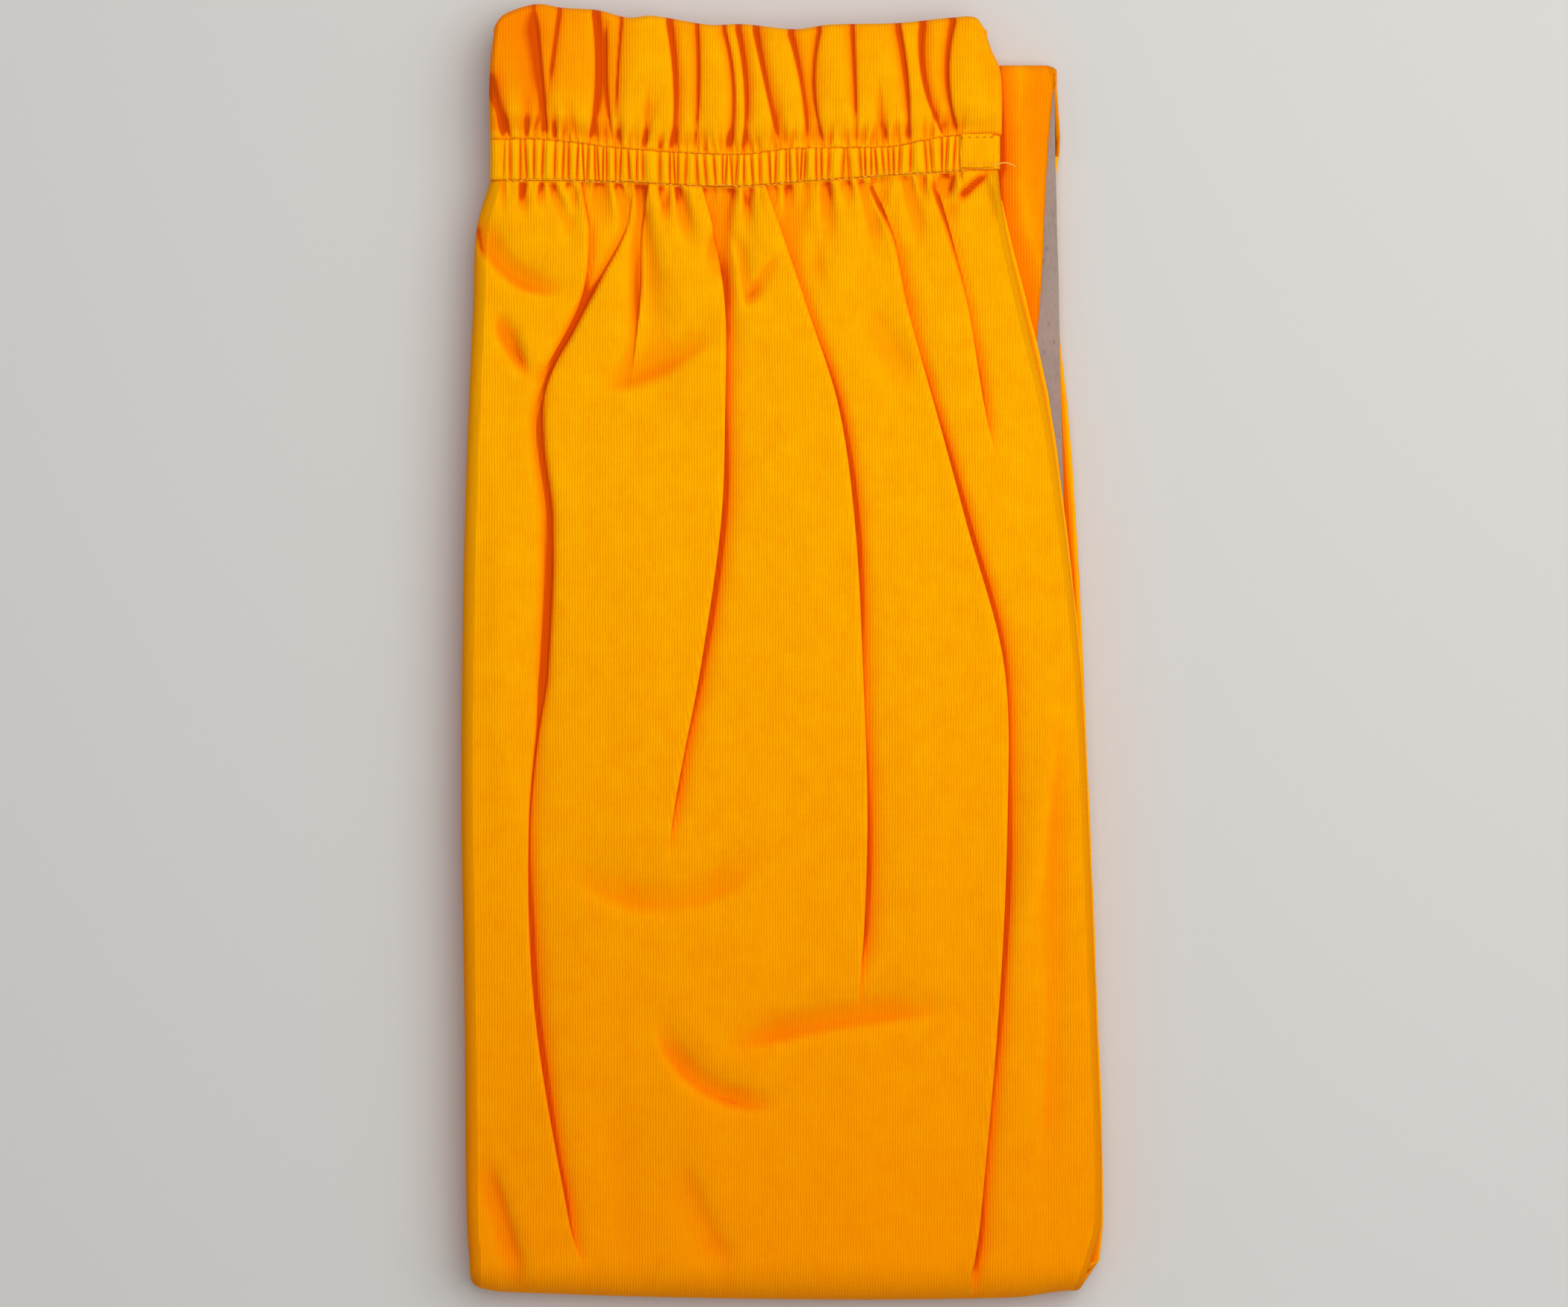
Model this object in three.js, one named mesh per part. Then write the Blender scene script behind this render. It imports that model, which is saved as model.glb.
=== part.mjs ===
// A patiala salwar, folded in half lengthwise and wrapped once round a stiff board.
// Millimetres. X runs across the pack, Y runs up to the waist, +Z is up, and the pack lies on Z = 0.
//
// From the bottom up: the back of the upper leg, the hidden layers of the lower leg, the board, the ankle end
// of the upper leg that is turned over the board's top edge, the front of both legs, and the gathered waist.
import * as THREE from "three";

const { clamp, lerp, smoothstep } = THREE.MathUtils;

// ---------- driving dimensions ----------
const CLOTH = 1.2; // a wall of jersey with the layer that clings to it
const WAIST_CLOTH = 1.8; // header and casing are two layers of the same jersey
const GAP = 0.3; // clearance between pieces, at seams and between layers
const SEAM_Y = 162; // lowest place of the seam between the casing and the leg
const BEND_Y = -213; // where the legs start to turn round the board's bottom edge
const TURN_Y = 198; // where the ankle end starts to turn round the board's top edge
const ANKLE_END_Y = 98; // the ankle end stops here, under the front
const PACK_HIGH = 20.4; // top of the flat part of the front
const ANKLE_HIGH = 10.8; // top of the turned-over ankle end
const CROWN = 1.5; // extra height of the front along its middle
const FOLD_ROOM = 3.2; // depth kept under the front for its folds
const ROLL_TURN = 100; // degrees turned by a rolled edge
const FRONT_ROLL = { left: 4.2, right: 2.6 }; // radius at which the front turns down at its sides
const BACK_ROLL = { left: 3, right: 3 };
const ANKLE_ROLL_TURN = 12; // degrees turned by the ankle end's edges, which lie almost flat on the board
const TURN_REACH = 7.4; // how far the turn over the board's top edge stands past TURN_Y
const CORNER_TUCK = 4.5; // how far the right side draws in on the bottom bend
const WAIST_ROLL = 2.4; // radius of the header's and the casing's folded edges
const CASING_HIGH = 19.6; // top of the casing between its gathers
const CASING_RELIEF = 1.1; // height of a casing gather
const CASING_GATHERS = 62;
const WAIST_LAYERS_HIGH = 17.1; // top of the waist's hidden layers
const HEADER_PUFF = 2.2; // how far the header stands above the casing
const HEADER_SAG = 0.005; // sag of the header past the pack's top edge, for each square millimetre
const SEAM_DIP = { depth: 0.7, run: 5 }; // how far the front dips at the casing's seam, and over what length
const FINE_GATHERS = { tall: 0.9, run: 6 }; // height and run of the small gathers beside the casing
const PATCH = { left: 61.8, right: 73, thick: 0.9 }; // doubled square where the elastic's ends are joined
const BOARD = { wide: 186, long: 404, thick: 1, low: 8.3, right: 99.3, top: 195, lean: 1.3 };
const BOARD_TOP = BOARD.low + BOARD.thick;

// One row for each section across the front: X of its left side, of its long folds and of its right side.
const FRONT = [
  {
    y: 162, left: -102.1, pouch: -70.5, side: -52, hip: -47,
    front: -28.6, middle: -6.5, thigh: 30, seat: 52, right: 74.8,
  },
  {
    y: 145, left: -107, pouch: -67.7, side: -55.3, hip: -49.3,
    front: -24.3, middle: -0.6, thigh: 37.4, seat: 57.4, right: 77,
  },
  {
    y: 120, left: -108.1, pouch: -71, side: -69, hip: -50.2,
    front: -20.6, middle: 7.8, thigh: 42.7, seat: 64, right: 83,
  },
  {
    y: 86, left: -109.7, pouch: -88, side: -84.2, hip: -54,
    front: -20.5, middle: 18.8, thigh: 52.3, seat: 70, right: 91.7,
  },
  {
    y: 45, left: -111.1, pouch: -86, side: -81.4, hip: -55,
    front: -22, middle: 24.6, thigh: 63.4, seat: 80, right: 97.9,
  },
  {
    y: -5, left: -112, pouch: -88, side: -83.3, hip: -56,
    front: -29, middle: 27.4, thigh: 76.6, seat: 89, right: 103.5,
  },
  {
    y: -60, left: -112.2, pouch: -94, side: -88.4, hip: -58,
    front: -38.6, middle: 29, thigh: 77.7, seat: 93, right: 106.4,
  },
  {
    y: -125, left: -111.2, pouch: -92, side: -86.6, hip: -57,
    front: -40.5, middle: 26.8, thigh: 74.7, seat: 92, right: 109,
  },
  {
    y: -198, left: -110.4, pouch: -84, side: -74.6, hip: -54,
    front: -40.5, middle: 26, thigh: 68.3, seat: 90, right: 110.9,
  },
  {
    y: -213, left: -109.4, pouch: -82, side: -70, hip: -54,
    front: -40.5, middle: 26, thigh: 66.3, seat: 88, right: 107.2,
  },
];
// depth and reach of each fold's groove, the heights where it starts and ends, and how far its right side
// stands above its left side at those two ends.
const FOLDS = [
  { line: "pouch", depth: 1.7, reach: 5, from: 172, to: 108, lapTop: -0.8, lapFoot: -0.5 },
  { line: "side", depth: 2.6, reach: 7, from: 156, to: -203, lapTop: 0.7, lapFoot: -0.8 },
  { line: "hip", depth: 1.9, reach: 5, from: 172, to: 106, lapTop: 0.9, lapFoot: 0.6 },
  { line: "front", depth: 1.9, reach: 8, from: 175, to: -60, lapTop: -1.1, lapFoot: -1 },
  { line: "middle", depth: 1.8, reach: 8, from: 175, to: -112, lapTop: -1.1, lapFoot: -0.6 },
  { line: "thigh", depth: 1.9, reach: 8, from: 175, to: -222, lapTop: -1, lapFoot: -1.1 },
  { line: "seat", depth: 1.6, reach: 6, from: 175, to: 80, lapTop: -0.7, lapFoot: -0.5 },
];
// Short gathers under the casing: X where each starts and ends, how far it runs down, and its depth.
const GATHERS = [
  { start: -90.5, end: -90, run: 9, depth: 1 },
  { start: -81.4, end: -77, run: 14, depth: 1.4 },
  { start: -60, end: -57, run: 12, depth: 0.9 },
  { start: -50.2, end: -46.5, run: 40, depth: 1.2 },
  { start: -39.8, end: -37, run: 11, depth: 0.9 },
  { start: -18.2, end: -23, run: 18, depth: 1.6 },
  { start: 2.1, end: 3, run: 20, depth: 0.9 },
  { start: 14.6, end: 14.6, run: 13, depth: 0.9 },
  { start: 26.8, end: 32, run: 17, depth: 0.8 },
  { start: 42, end: 46, run: 14, depth: 0.9 },
];
// Soft dents across the front, and ridges where the depth is below zero: X and Y of both ends, how far the
// middle sags to the right of the line between them, depth and half width.
const DENTS = [
  { x1: -104.5, y1: 150, x2: -78.8, y2: 125.6, sag: 6.5, depth: 1.4, wide: 4.5 },
  { x1: -98, y1: 114, x2: -86, y2: 99, sag: 1, depth: 1, wide: 4 },
  { x1: -17.2, y1: 143, x2: -12.2, y2: 121.7, sag: 0, depth: 1.2, wide: 2.2 },
  { x1: -2.6, y1: 134, x2: -12.2, y2: 121.7, sag: 0, depth: 1.1, wide: 2.4 },
  { x1: -61, y1: 93, x2: -22.4, y2: 111, sag: 2, depth: 1.1, wide: 6 },
  { x1: 29, y1: 122, x2: 45, y2: 95, sag: 0, depth: 0.7, wide: 6 },
  { x1: -73.6, y1: -77, x2: -6.2, y2: -72, sag: 12, depth: 0.9, wide: 8 },
  { x1: -42, y1: -134, x2: -6.2, y2: -158, sag: 5, depth: 1.2, wide: 6 },
  { x1: -18.2, y1: -137, x2: 52, y2: -124, sag: -2, depth: 1.1, wide: 7 },
  { x1: -35, y1: -178, x2: -18, y2: -215, sag: 2, depth: 0.7, wide: 7 },
  { x1: -103, y1: -180, x2: -91, y2: -219, sag: 0, depth: 1.2, wide: 4 },
  { x1: 92.3, y1: -20, x2: 80.3, y2: -112, sag: -2, depth: -0.9, wide: 5 },
  { x1: 71, y1: 166.5, x2: 60.5, y2: 155.5, sag: 0, depth: -1.7, wide: 2.2 },
];
// One row for each section across what lies under the board, then across the ankle end.
const BACK = [
  { y: -213, left: -109.4, right: 110.8 },
  { y: -198, left: -109.8, right: 112.2 },
  { y: -125, left: -109.4, right: 110 },
  { y: -46, left: -108, right: 106.8 },
  { y: 22, left: -106.6, right: 104 },
  { y: 80, left: -104.6, right: 100.2 },
  { y: 112, left: -103.4, right: 96.8 },
  { y: 130, left: -102.4, right: 95.4 },
  { y: 165, left: -101, right: 95.4 },
  { y: 177, left: -100.5, right: 97 },
  { y: 188, left: -100.2, right: 96.6 },
  { y: 206, left: -99.4, right: 95.2 },
];
const ANKLE = [
  { y: 98, left: -94, right: 87.8 },
  { y: 134, left: -96, right: 90.5 },
  { y: 160, left: -97.4, right: 91.6 },
  { y: 180, left: -98.4, right: 92.8 },
  { y: 206, left: -99.4, right: 95.2 },
];
// One row for each section across the header, then X and Y along its upper edge and the casing's two edges.
const HEADER = [
  { y: 174, left: -102.2, right: 76.2 },
  { y: 194, left: -102.6, right: 76.2 },
  { y: 204, left: -102.4, right: 75.4 },
  { y: 211, left: -102, right: 72.8 },
  { y: 220, left: -100.6, right: 70.4 },
];
const HEADER_TOP = [
  { x: -102.6, y: 214 },
  { x: -99.4, y: 220.4 },
  { x: -95.5, y: 223.4 },
  { x: -86, y: 226.1 },
  { x: -77, y: 224.8 },
  { x: -65, y: 224 },
  { x: -54, y: 221.3 },
  { x: -46, y: 222 },
  { x: -26, y: 218.8 },
  { x: -14, y: 219 },
  { x: 4, y: 217.2 },
  { x: 16, y: 218.8 },
  { x: 40, y: 219.4 },
  { x: 60, y: 221.4 },
  { x: 67.3, y: 221.2 },
  { x: 70.4, y: 217 },
];
const CASING_TOP = [
  { x: -102, y: 178.4 },
  { x: -84, y: 178.4 },
  { x: -50, y: 174.8 },
  { x: -14, y: 173.2 },
  { x: 2, y: 175.2 },
  { x: 38, y: 176 },
  { x: 56, y: 179.4 },
  { x: 76, y: 180 },
];
const CASING_FOOT = [
  { x: -102, y: 164.4 },
  { x: -60, y: 164 },
  { x: -20, y: 162.2 },
  { x: 10, y: 164.2 },
  { x: 60, y: 167.6 },
  { x: 76, y: 168.2 },
];
const BOTTOM_FOLD = [
  { x: -110, y: -221.4 },
  { x: -98, y: -223.6 },
  { x: 0, y: -226.2 },
  { x: 80, y: -225.6 },
  { x: 100, y: -223.2 },
  { x: 112, y: -224.6 },
];
// Folds of the header: X at its upper edge, half way and at its stitched foot, then as for the folds of the
// front, with the start and end as a share of the header's height above its foot.
const HEADER_FOLDS = [
  { top: -103.5, half: -101, foot: -96.6, depth: 1, reach: 2.4, from: 0, to: 0.6, lap: 0.3 },
  { top: -86.8, half: -84.4, foot: -82.2, depth: 1.2, reach: 3.4, from: 0, to: 0.95, lap: 0.3 },
  { top: -78, half: -81, foot: -84, depth: 0.8, reach: 3, from: 0.65, to: 1.1, lap: -0.2 },
  { top: -65.8, half: -64.6, foot: -67.6, depth: 2, reach: 3.4, from: 0, to: 1.1, lap: -0.7 },
  { top: -61.4, half: -61.8, foot: -59, depth: 1.2, reach: 2.2, from: 0, to: 0.9, lap: 0.3 },
  { top: -56.4, half: -58, foot: -58.6, depth: 1, reach: 2.4, from: 0.5, to: 1.1, lap: 0.2 },
  { top: -46, half: -47, foot: -48, depth: 0.8, reach: 3, from: 0, to: 0.4, lap: 0.2 },
  { top: -40, half: -37.6, foot: -38.6, depth: 1.8, reach: 3.2, from: 0, to: 1.1, lap: -0.6 },
  { top: -29.9, half: -29.6, foot: -31, depth: 1.4, reach: 2.6, from: 0.2, to: 1.1, lap: 0.3 },
  { top: -20.5, half: -17.2, foot: -19, depth: 1.5, reach: 2.4, from: 0.2, to: 1.1, lap: 0.3 },
  { top: -16, half: -13, foot: -14.2, depth: 1.7, reach: 2.4, from: 0, to: 1.1, lap: -0.6 },
  { top: -10, half: -5.4, foot: -0.6, depth: 1.6, reach: 2.8, from: 0, to: 1.1, lap: -0.6 },
  { top: 2.4, half: 7, foot: 8.8, depth: 1.7, reach: 3, from: 0, to: 1.1, lap: -0.5 },
  { top: 12.6, half: 10.6, foot: 14.6, depth: 1.4, reach: 2.6, from: 0, to: 1.1, lap: 0.3 },
  { top: 24.2, half: 25, foot: 25.6, depth: 1.4, reach: 3, from: 0, to: 1.1, lap: 0.3 },
  { top: 33, half: 33.6, foot: 35, depth: 0.7, reach: 3, from: 0, to: 0.5, lap: 0.2 },
  { top: 40.4, half: 43.2, foot: 43.6, depth: 1.7, reach: 2.6, from: 0, to: 1.1, lap: 0.5 },
  { top: 48, half: 49.2, foot: 56.4, depth: 1.8, reach: 2.8, from: 0, to: 1.1, lap: -0.6 },
  { top: 59.4, half: 57.2, foot: 61, depth: 1.6, reach: 3, from: 0, to: 1.1, lap: 0.5 },
];

// ---------- curves ----------
const TO_RADIANS = Math.PI / 180;
const range = (count) => Array.from({ length: count }, (_, i) => i);
const steps = (count, from = 0, to = 1) => range(count + 1).map((i) => lerp(from, to, i / count));

// A smooth function from one column of a table to another, held level past both ends.
function curve(table, from, to) {
  const rows = table.map((row) => [row[from], row[to]]).sort((a, b) => a[0] - b[0]);
  const last = rows.length - 1;
  const slope = (i) => {
    const [before, after] = [rows[Math.max(i - 1, 0)], rows[Math.min(i + 1, last)]];
    return (after[1] - before[1]) / (after[0] - before[0]);
  };
  return (at) => {
    const t = clamp(at, rows[0][0], rows[last][0]);
    const next = rows.findIndex(([start]) => start > t);
    const k = next < 0 ? last - 1 : next - 1;
    const [[start, value], [end, nextValue]] = [rows[k], rows[k + 1]];
    const span = end - start;
    const f = (t - start) / span;
    const bend = f * (1 - f) * ((slope(k) * span - nextValue + value) * (1 - f)
      - (slope(k + 1) * span - nextValue + value) * f);
    return lerp(value, nextValue, f) + bend;
  };
}

const sides = (table) => ({ left: curve(table, "y", "left"), right: curve(table, "y", "right") });
const EDGE = sides(FRONT);
const BACK_EDGE = sides(BACK);
const ANKLE_EDGE = sides(ANKLE);
const HEADER_EDGE = sides(HEADER);
const headerTop = curve(HEADER_TOP, "x", "y");
const casingTop = curve(CASING_TOP, "x", "y");
const casingFoot = curve(CASING_FOOT, "x", "y");
const bottomFold = curve(BOTTOM_FOLD, "x", "y");
const foldLines = FOLDS.map((fold) => curve(FRONT, "y", fold.line));

// 1 between two places, fading to 0 over `fade` at both of them.
function within(at, low, high, fade) {
  return smoothstep(at, low - fade, low + fade) * (1 - smoothstep(at, high - fade, high + fade));
}

// ---------- heights of the cloth ----------
// Height across a fold: a groove with a narrow core and soft flanks, and a lap of one side over the other.
function creaseHeight(away, depth, reach, lap) {
  const LAP_EDGE = 0.6;
  const CORE = { reach: 0.3, share: 0.55 };
  const flank = Math.exp(-Math.abs(away) / reach);
  const core = Math.exp(-Math.abs(away) / (CORE.reach * reach));
  return lap * Math.tanh(away / LAP_EDGE) * flank - depth * lerp(flank, core, CORE.share);
}

function foldHeight(fold, line, x, y) {
  const FADE = 18;
  const lap = lerp(fold.lapFoot, fold.lapTop, smoothstep(y, fold.to, fold.from));
  return within(y, fold.to, fold.from, FADE) * creaseHeight(x - line(y), fold.depth, fold.reach, lap);
}

function gatherHeight({ start, end, run, depth }, x, y) {
  const FADE = { from: 0.4, to: 1.2 };
  const SEAM_WIDE = 1.5;
  const WIDENING = 0.05;
  const down = casingFoot(x) - y;
  const line = lerp(start, end, clamp(down / run, 0, FADE.to));
  const wide = SEAM_WIDE + WIDENING * Math.max(down, 0);
  const strength = 1 - smoothstep(down, FADE.from * run, FADE.to * run);
  return -depth * strength * Math.exp(-(((x - line) / wide) ** 2));
}

function dentHeight({ x1, y1, x2, y2, sag, depth, wide }, x, y) {
  const long = Math.hypot(x2 - x1, y2 - y1);
  const [ux, uy] = [(x2 - x1) / long, (y2 - y1) / long];
  const t = ((x - x1) * ux + (y - y1) * uy) / long;
  const across = (y - y1) * ux - (x - x1) * uy + sag * 4 * t * (1 - t);
  const ends = smoothstep(t, -0.15, 0.25) * (1 - smoothstep(t, 0.75, 1.15));
  return -depth * ends * Math.exp(-((across / wide) ** 2));
}

// The casing's gathers: X of a place counted in gathers from its left end, and the count at an X.
const GATHERED = { left: -97.5, right: 61.5 };
const GATHER_PITCH = (GATHERED.right - GATHERED.left) / CASING_GATHERS;
const drift = (count) => 0.16 * Math.sin(1.7 * count) + 0.09 * Math.sin(4.1 * count);
const gatherX = (count) => GATHERED.left + GATHER_PITCH * (count + drift(count));
const gatherCount = (x) => {
  const guess = (x - GATHERED.left) / GATHER_PITCH;
  return guess - drift(guess - drift(guess));
};
const FLAT_SHARE = 0.6; // height of the smooth ends of the casing, as a share of a gather
const ruffle = (x) => {
  const smooth = x <= GATHERED.left || x >= GATHERED.right;
  return smooth ? FLAT_SHARE : Math.abs(Math.sin(Math.PI * gatherCount(x)));
};

// Small gathers that fade out on both sides of the casing.
const fineGathers = (x, away) =>
  FINE_GATHERS.tall * (ruffle(x) - FLAT_SHARE) * Math.exp(-Math.max(away, 0) / FINE_GATHERS.run);

// Height of the front above its flat part.
function frontHeight(x, y) {
  const [left, right] = [EDGE.left(y), EDGE.right(y)];
  const off = (2 * x - left - right) / (right - left);
  const down = casingFoot(x) - y;
  const CROWN_START = 60;
  const crown = CROWN * (1 - off * off) * smoothstep(down, 0, CROWN_START);
  const seamDip = -SEAM_DIP.depth * Math.exp(-Math.max(down, 0) / SEAM_DIP.run);
  const heights = [
    ...FOLDS.map((fold, i) => foldHeight(fold, foldLines[i], x, y)),
    ...GATHERS.map((gather) => gatherHeight(gather, x, y)),
    ...DENTS.map((dent) => dentHeight(dent, x, y)),
  ];
  const folded = heights.reduce((sum, height) => sum + height, 0);
  return Math.max(crown + seamDip + fineGathers(x, down) + folded, -FOLD_ROOM);
}

const sag = (y) => HEADER_SAG * Math.max(y - 200, 0) ** 2;

// Height of the header above the casing, at X and at a share of its height above its foot.
function headerHeight(x, share) {
  const up = share * (headerTop(x) - casingTop(x));
  const LOWEST = -0.4;
  const puff = HEADER_PUFF * smoothstep(up, -2, 12);
  const folds = HEADER_FOLDS.map(({ top, half, foot, depth, reach, from, to, lap }) => {
    const line = lerp(lerp(foot, half, Math.min(share * 2, 1)), top, Math.max(share * 2 - 1, 0));
    return within(share, from - 0.2, to, 0.15) * creaseHeight(x - line, depth, reach, lap);
  });
  const folded = folds.reduce((sum, height) => sum + height, 0);
  return Math.max(puff + fineGathers(x, up) + folded, LOWEST);
}

// ---------- panels with rolled edges ----------
// Where a place across a panel lies: -1 to 0 on its rolled left edge, 0 to 1 on its flat, 1 to 2 on its
// rolled right edge.
// `drop` is how far its outer face lies below the panel's top there, and `facing` how far it faces up.
function acrossPanel(place, left, right, roll, inset, turn = ROLL_TURN) {
  const side = place < 0 ? "left" : "right";
  const turned = Math.max(-place, place - 1, 0) * turn * TO_RADIANS;
  const radius = roll[side];
  const swing = (radius - inset) * Math.sin(turned) * (place < 0 ? -1 : 1);
  const stand = Math.sin(Math.min(turn, 90) * TO_RADIANS);
  return {
    x: lerp(left + stand * roll.left, right - stand * roll.right, clamp(place, 0, 1)) + swing,
    drop: radius * (1 - Math.cos(turned)),
    facing: Math.cos(turned),
  };
}

const ROLLED = [1, 0.67, 0.33]; // places on a rolled edge, outermost first
const rolled = (flat) => [...ROLLED.map((p) => -p), ...flat, ...ROLLED.map((p) => flat.at(-1) + p).reverse()];

// ---------- the path of the legs round the board ----------
// Place on the way, at a distance v along the leg: 0 to 1 front, 1 to 2 bottom bend, 2 to 3 under the board,
// 3 to 4 turn over its top edge, 4 to 5 ankle end.
function legStation(v) {
  const angle = Math.PI * (v < 3 ? clamp(v - 1, 0, 1) : 1 - clamp(v - 3, 0, 1));
  const arm = { up: Math.cos(angle), out: Math.sin(angle) };
  if (v <= 1) {
    const y = lerp(SEAM_Y, BEND_Y, v);
    return { ...arm, y, left: EDGE.left(y), right: EDGE.right(y), roll: FRONT_ROLL, even: 0 };
  }
  if (v <= 2) {
    const share = v - 1;
    return {
      ...arm,
      y: BEND_Y,
      left: lerp(EDGE.left(BEND_Y), BACK_EDGE.left(BEND_Y), share),
      right: lerp(EDGE.right(BEND_Y), BACK_EDGE.right(BEND_Y), share) - CORNER_TUCK * arm.out,
      roll: {
        left: lerp(FRONT_ROLL.left, BACK_ROLL.left, share),
        right: lerp(FRONT_ROLL.right, BACK_ROLL.right, share),
      },
      even: 0.5 * share,
    };
  }
  const edge = v < 3.5 ? BACK_EDGE : ANKLE_EDGE;
  const y = v <= 3 ? lerp(BEND_Y, TURN_Y, v - 2) : lerp(TURN_Y, ANKLE_END_Y, Math.max(v - 4, 0));
  const even = Math.min(0.5 + 1.5 * (v - 2), 1);
  return { ...arm, y, left: edge.left(y), right: edge.right(y), roll: BACK_ROLL, even };
}

// Share of the width at a column of the leg: the whole numbers from 1 up are its long folds.
const PANELS = FOLDS.length + 1;
function columnShare(column, { y, left, right, roll, even }) {
  const [flatLeft, flatRight] = [left + roll.left, right - roll.right];
  const folds = foldLines.map((line) => clamp(line(y), flatLeft + 2, flatRight - 2));
  const lines = [flatLeft, ...folds, flatRight];
  const k = clamp(Math.floor(column), 0, PANELS - 1);
  const share = (lerp(lines[k], lines[k + 1], column - k) - flatLeft) / (flatRight - flatLeft);
  return lerp(share, column / PANELS, even);
}

// A point of the upper leg's wall. Columns below 0 and above PANELS are its rolled edges.
function legPoint(column, v, inset) {
  const station = legStation(v);
  const { y, left, right, roll, up, out } = station;
  const past = column < 0 ? column : Math.max(column - PANELS, 0);
  const place = past || columnShare(column, station);
  const turn = lerp(ROLL_TURN, ANKLE_ROLL_TURN, clamp(v - 3, 0, 1));
  const { x, drop, facing } = acrossPanel(past > 0 ? 1 + past : place, left, right, roll, inset, turn);
  const fading = clamp((v - 1) * 2.5, 0, 1);
  const depth = drop + inset * facing;
  const lift = Math.max(facing, 0) * lerp(frontHeight(x, Math.max(y, BEND_Y)), 0, fading);
  if (v <= 1) {
    const shift = (casingFoot(x) - GAP - SEAM_Y) * (1 - smoothstep(v, 0, 0.2));
    return new THREE.Vector3(x, y + shift, PACK_HIGH - depth + lift);
  }
  if (v < 2.5) {
    const reach = BEND_Y - bottomFold(x);
    const radius = reach - depth + lift;
    return new THREE.Vector3(x, y - out * radius, PACK_HIGH / 2 + up * (PACK_HIGH / 2 - depth + lift));
  }
  return new THREE.Vector3(x, y + out * (TURN_REACH - depth), ANKLE_HIGH / 2 + up * (ANKLE_HIGH / 2 - depth));
}

// ---------- closed walls and solids ----------
class Skin {
  points = [];
  triangles = [];

  // Adds a row of points, each with its place along the row.
  row(places, pointAt) {
    return places.map((place) => ({ place, index: this.points.push(pointAt(place)) - 1 }));
  }

  // Fills the strip between two rows that may have different numbers of points.
  fill(a, b, flip = false) {
    let i = 0;
    let j = 0;
    while (i < a.length - 1 || j < b.length - 1) {
      const stepA = j === b.length - 1 || (i < a.length - 1 && a[i + 1].place <= b[j + 1].place);
      const face = [a[i].index, b[j].index, stepA ? a[i + 1].index : b[j + 1].index];
      this.triangles.push(...(flip ? face.reverse() : face));
      i += stepA ? 1 : 0;
      j += stepA ? 0 : 1;
    }
  }

  geometry() {
    return new THREE.BufferGeometry().setFromPoints(this.points).setIndex(this.triangles);
  }
}

// A closed wall between an outer and an inner sheet. Each sheet is a list of rows { v, columns }, which run
// down the pack, or up it where `upward` is true.
function wall(pointAt, thickness, outer, inner, upward = false) {
  const skin = new Skin();
  const sheet = (rows, inset) => rows.map(({ v, columns }) => skin.row(columns, (c) => pointAt(c, v, inset)));
  const border = (rows, sheetRows, end) => sheetRows.map((row, i) => ({ ...row.at(end), place: rows[i].v }));
  const face = sheet(outer, 0);
  const back = sheet(inner, thickness);
  face.slice(1).forEach((row, i) => skin.fill(face[i], row, upward));
  back.slice(1).forEach((row, i) => skin.fill(back[i], row, !upward));
  skin.fill(face[0], back[0], !upward);
  skin.fill(face.at(-1), back.at(-1), upward);
  skin.fill(border(outer, face, 0), border(inner, back, 0), upward);
  skin.fill(border(outer, face, -1), border(inner, back, -1), !upward);
  return skin.geometry();
}

// ---------- pieces ----------
// The upper leg, from the casing round the board to its ankle end.
function upperLeg() {
  const panels = (shares) => rolled([...range(PANELS).flatMap((k) => shares.map((f) => k + f)), PANELS]);
  const gathered = rolled(steps(PANELS * 16, 0, PANELS));
  const pleated = panels([0, 0.06, 0.3, 0.6, 0.92]);
  const plain = panels([0, 0.25, 0.65]);
  const flat = panels([0]);
  const GATHERED_ROWS = 4;
  const front = steps(24).map((t) => t ** 1.3);
  const bend = steps(6, 1, 2).slice(1);
  const outer = [
    ...front.map((v, i) => ({ v, columns: i < GATHERED_ROWS ? gathered : pleated })),
    ...bend.map((v) => ({ v, columns: v < 1.6 ? pleated : flat })),
    ...[...UNDER, ...OVER].map((v) => ({ v, columns: flat })),
  ];
  const inner = [
    ...front.filter((_, i) => i % 2 === 0).map((v) => ({ v, columns: plain })),
    ...bend.map((v) => ({ v, columns: v < 1.6 ? plain : flat })),
    ...[...UNDER, ...OVER].map((v) => ({ v, columns: flat })),
  ];
  return wall(legPoint, CLOTH, outer, inner);
}
const UNDER = [2.08, 2.2, 2.38, 2.56, 2.7, 2.78, 2.86, 2.94];
const OVER = [3, 3.2, 3.4, 3.6, 3.8, 4, 4.2, 4.4, 4.6, 4.8, 5];

// The outline of the lower leg's hidden layers across the pack, as X and depth: two layers, notched at their
// sides.
function layeredOutline(left, right, depthTop, depthShelf, depthEnd) {
  const NOTCH = 1.2;
  const half = (depthEnd - depthShelf) / 2;
  const side = [
    [7, depthTop],
    [3, depthTop + 0.2],
    [NOTCH, depthShelf],
    [0, depthShelf + 0.4 * half],
    [NOTCH, depthShelf + half],
    [0, depthShelf + 1.5 * half],
    [2.6, depthEnd],
  ];
  const middle = steps(6, 0.12, 0.88).map((f) => lerp(left, right, f));
  return [
    ...side.map(([x, d]) => [left + x, d]).reverse(),
    ...middle.map((x) => [x, depthTop]),
    ...side.map(([x, d]) => [right - x, d]),
    ...middle.map((x) => [x, depthEnd]).reverse(),
  ];
}

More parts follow.
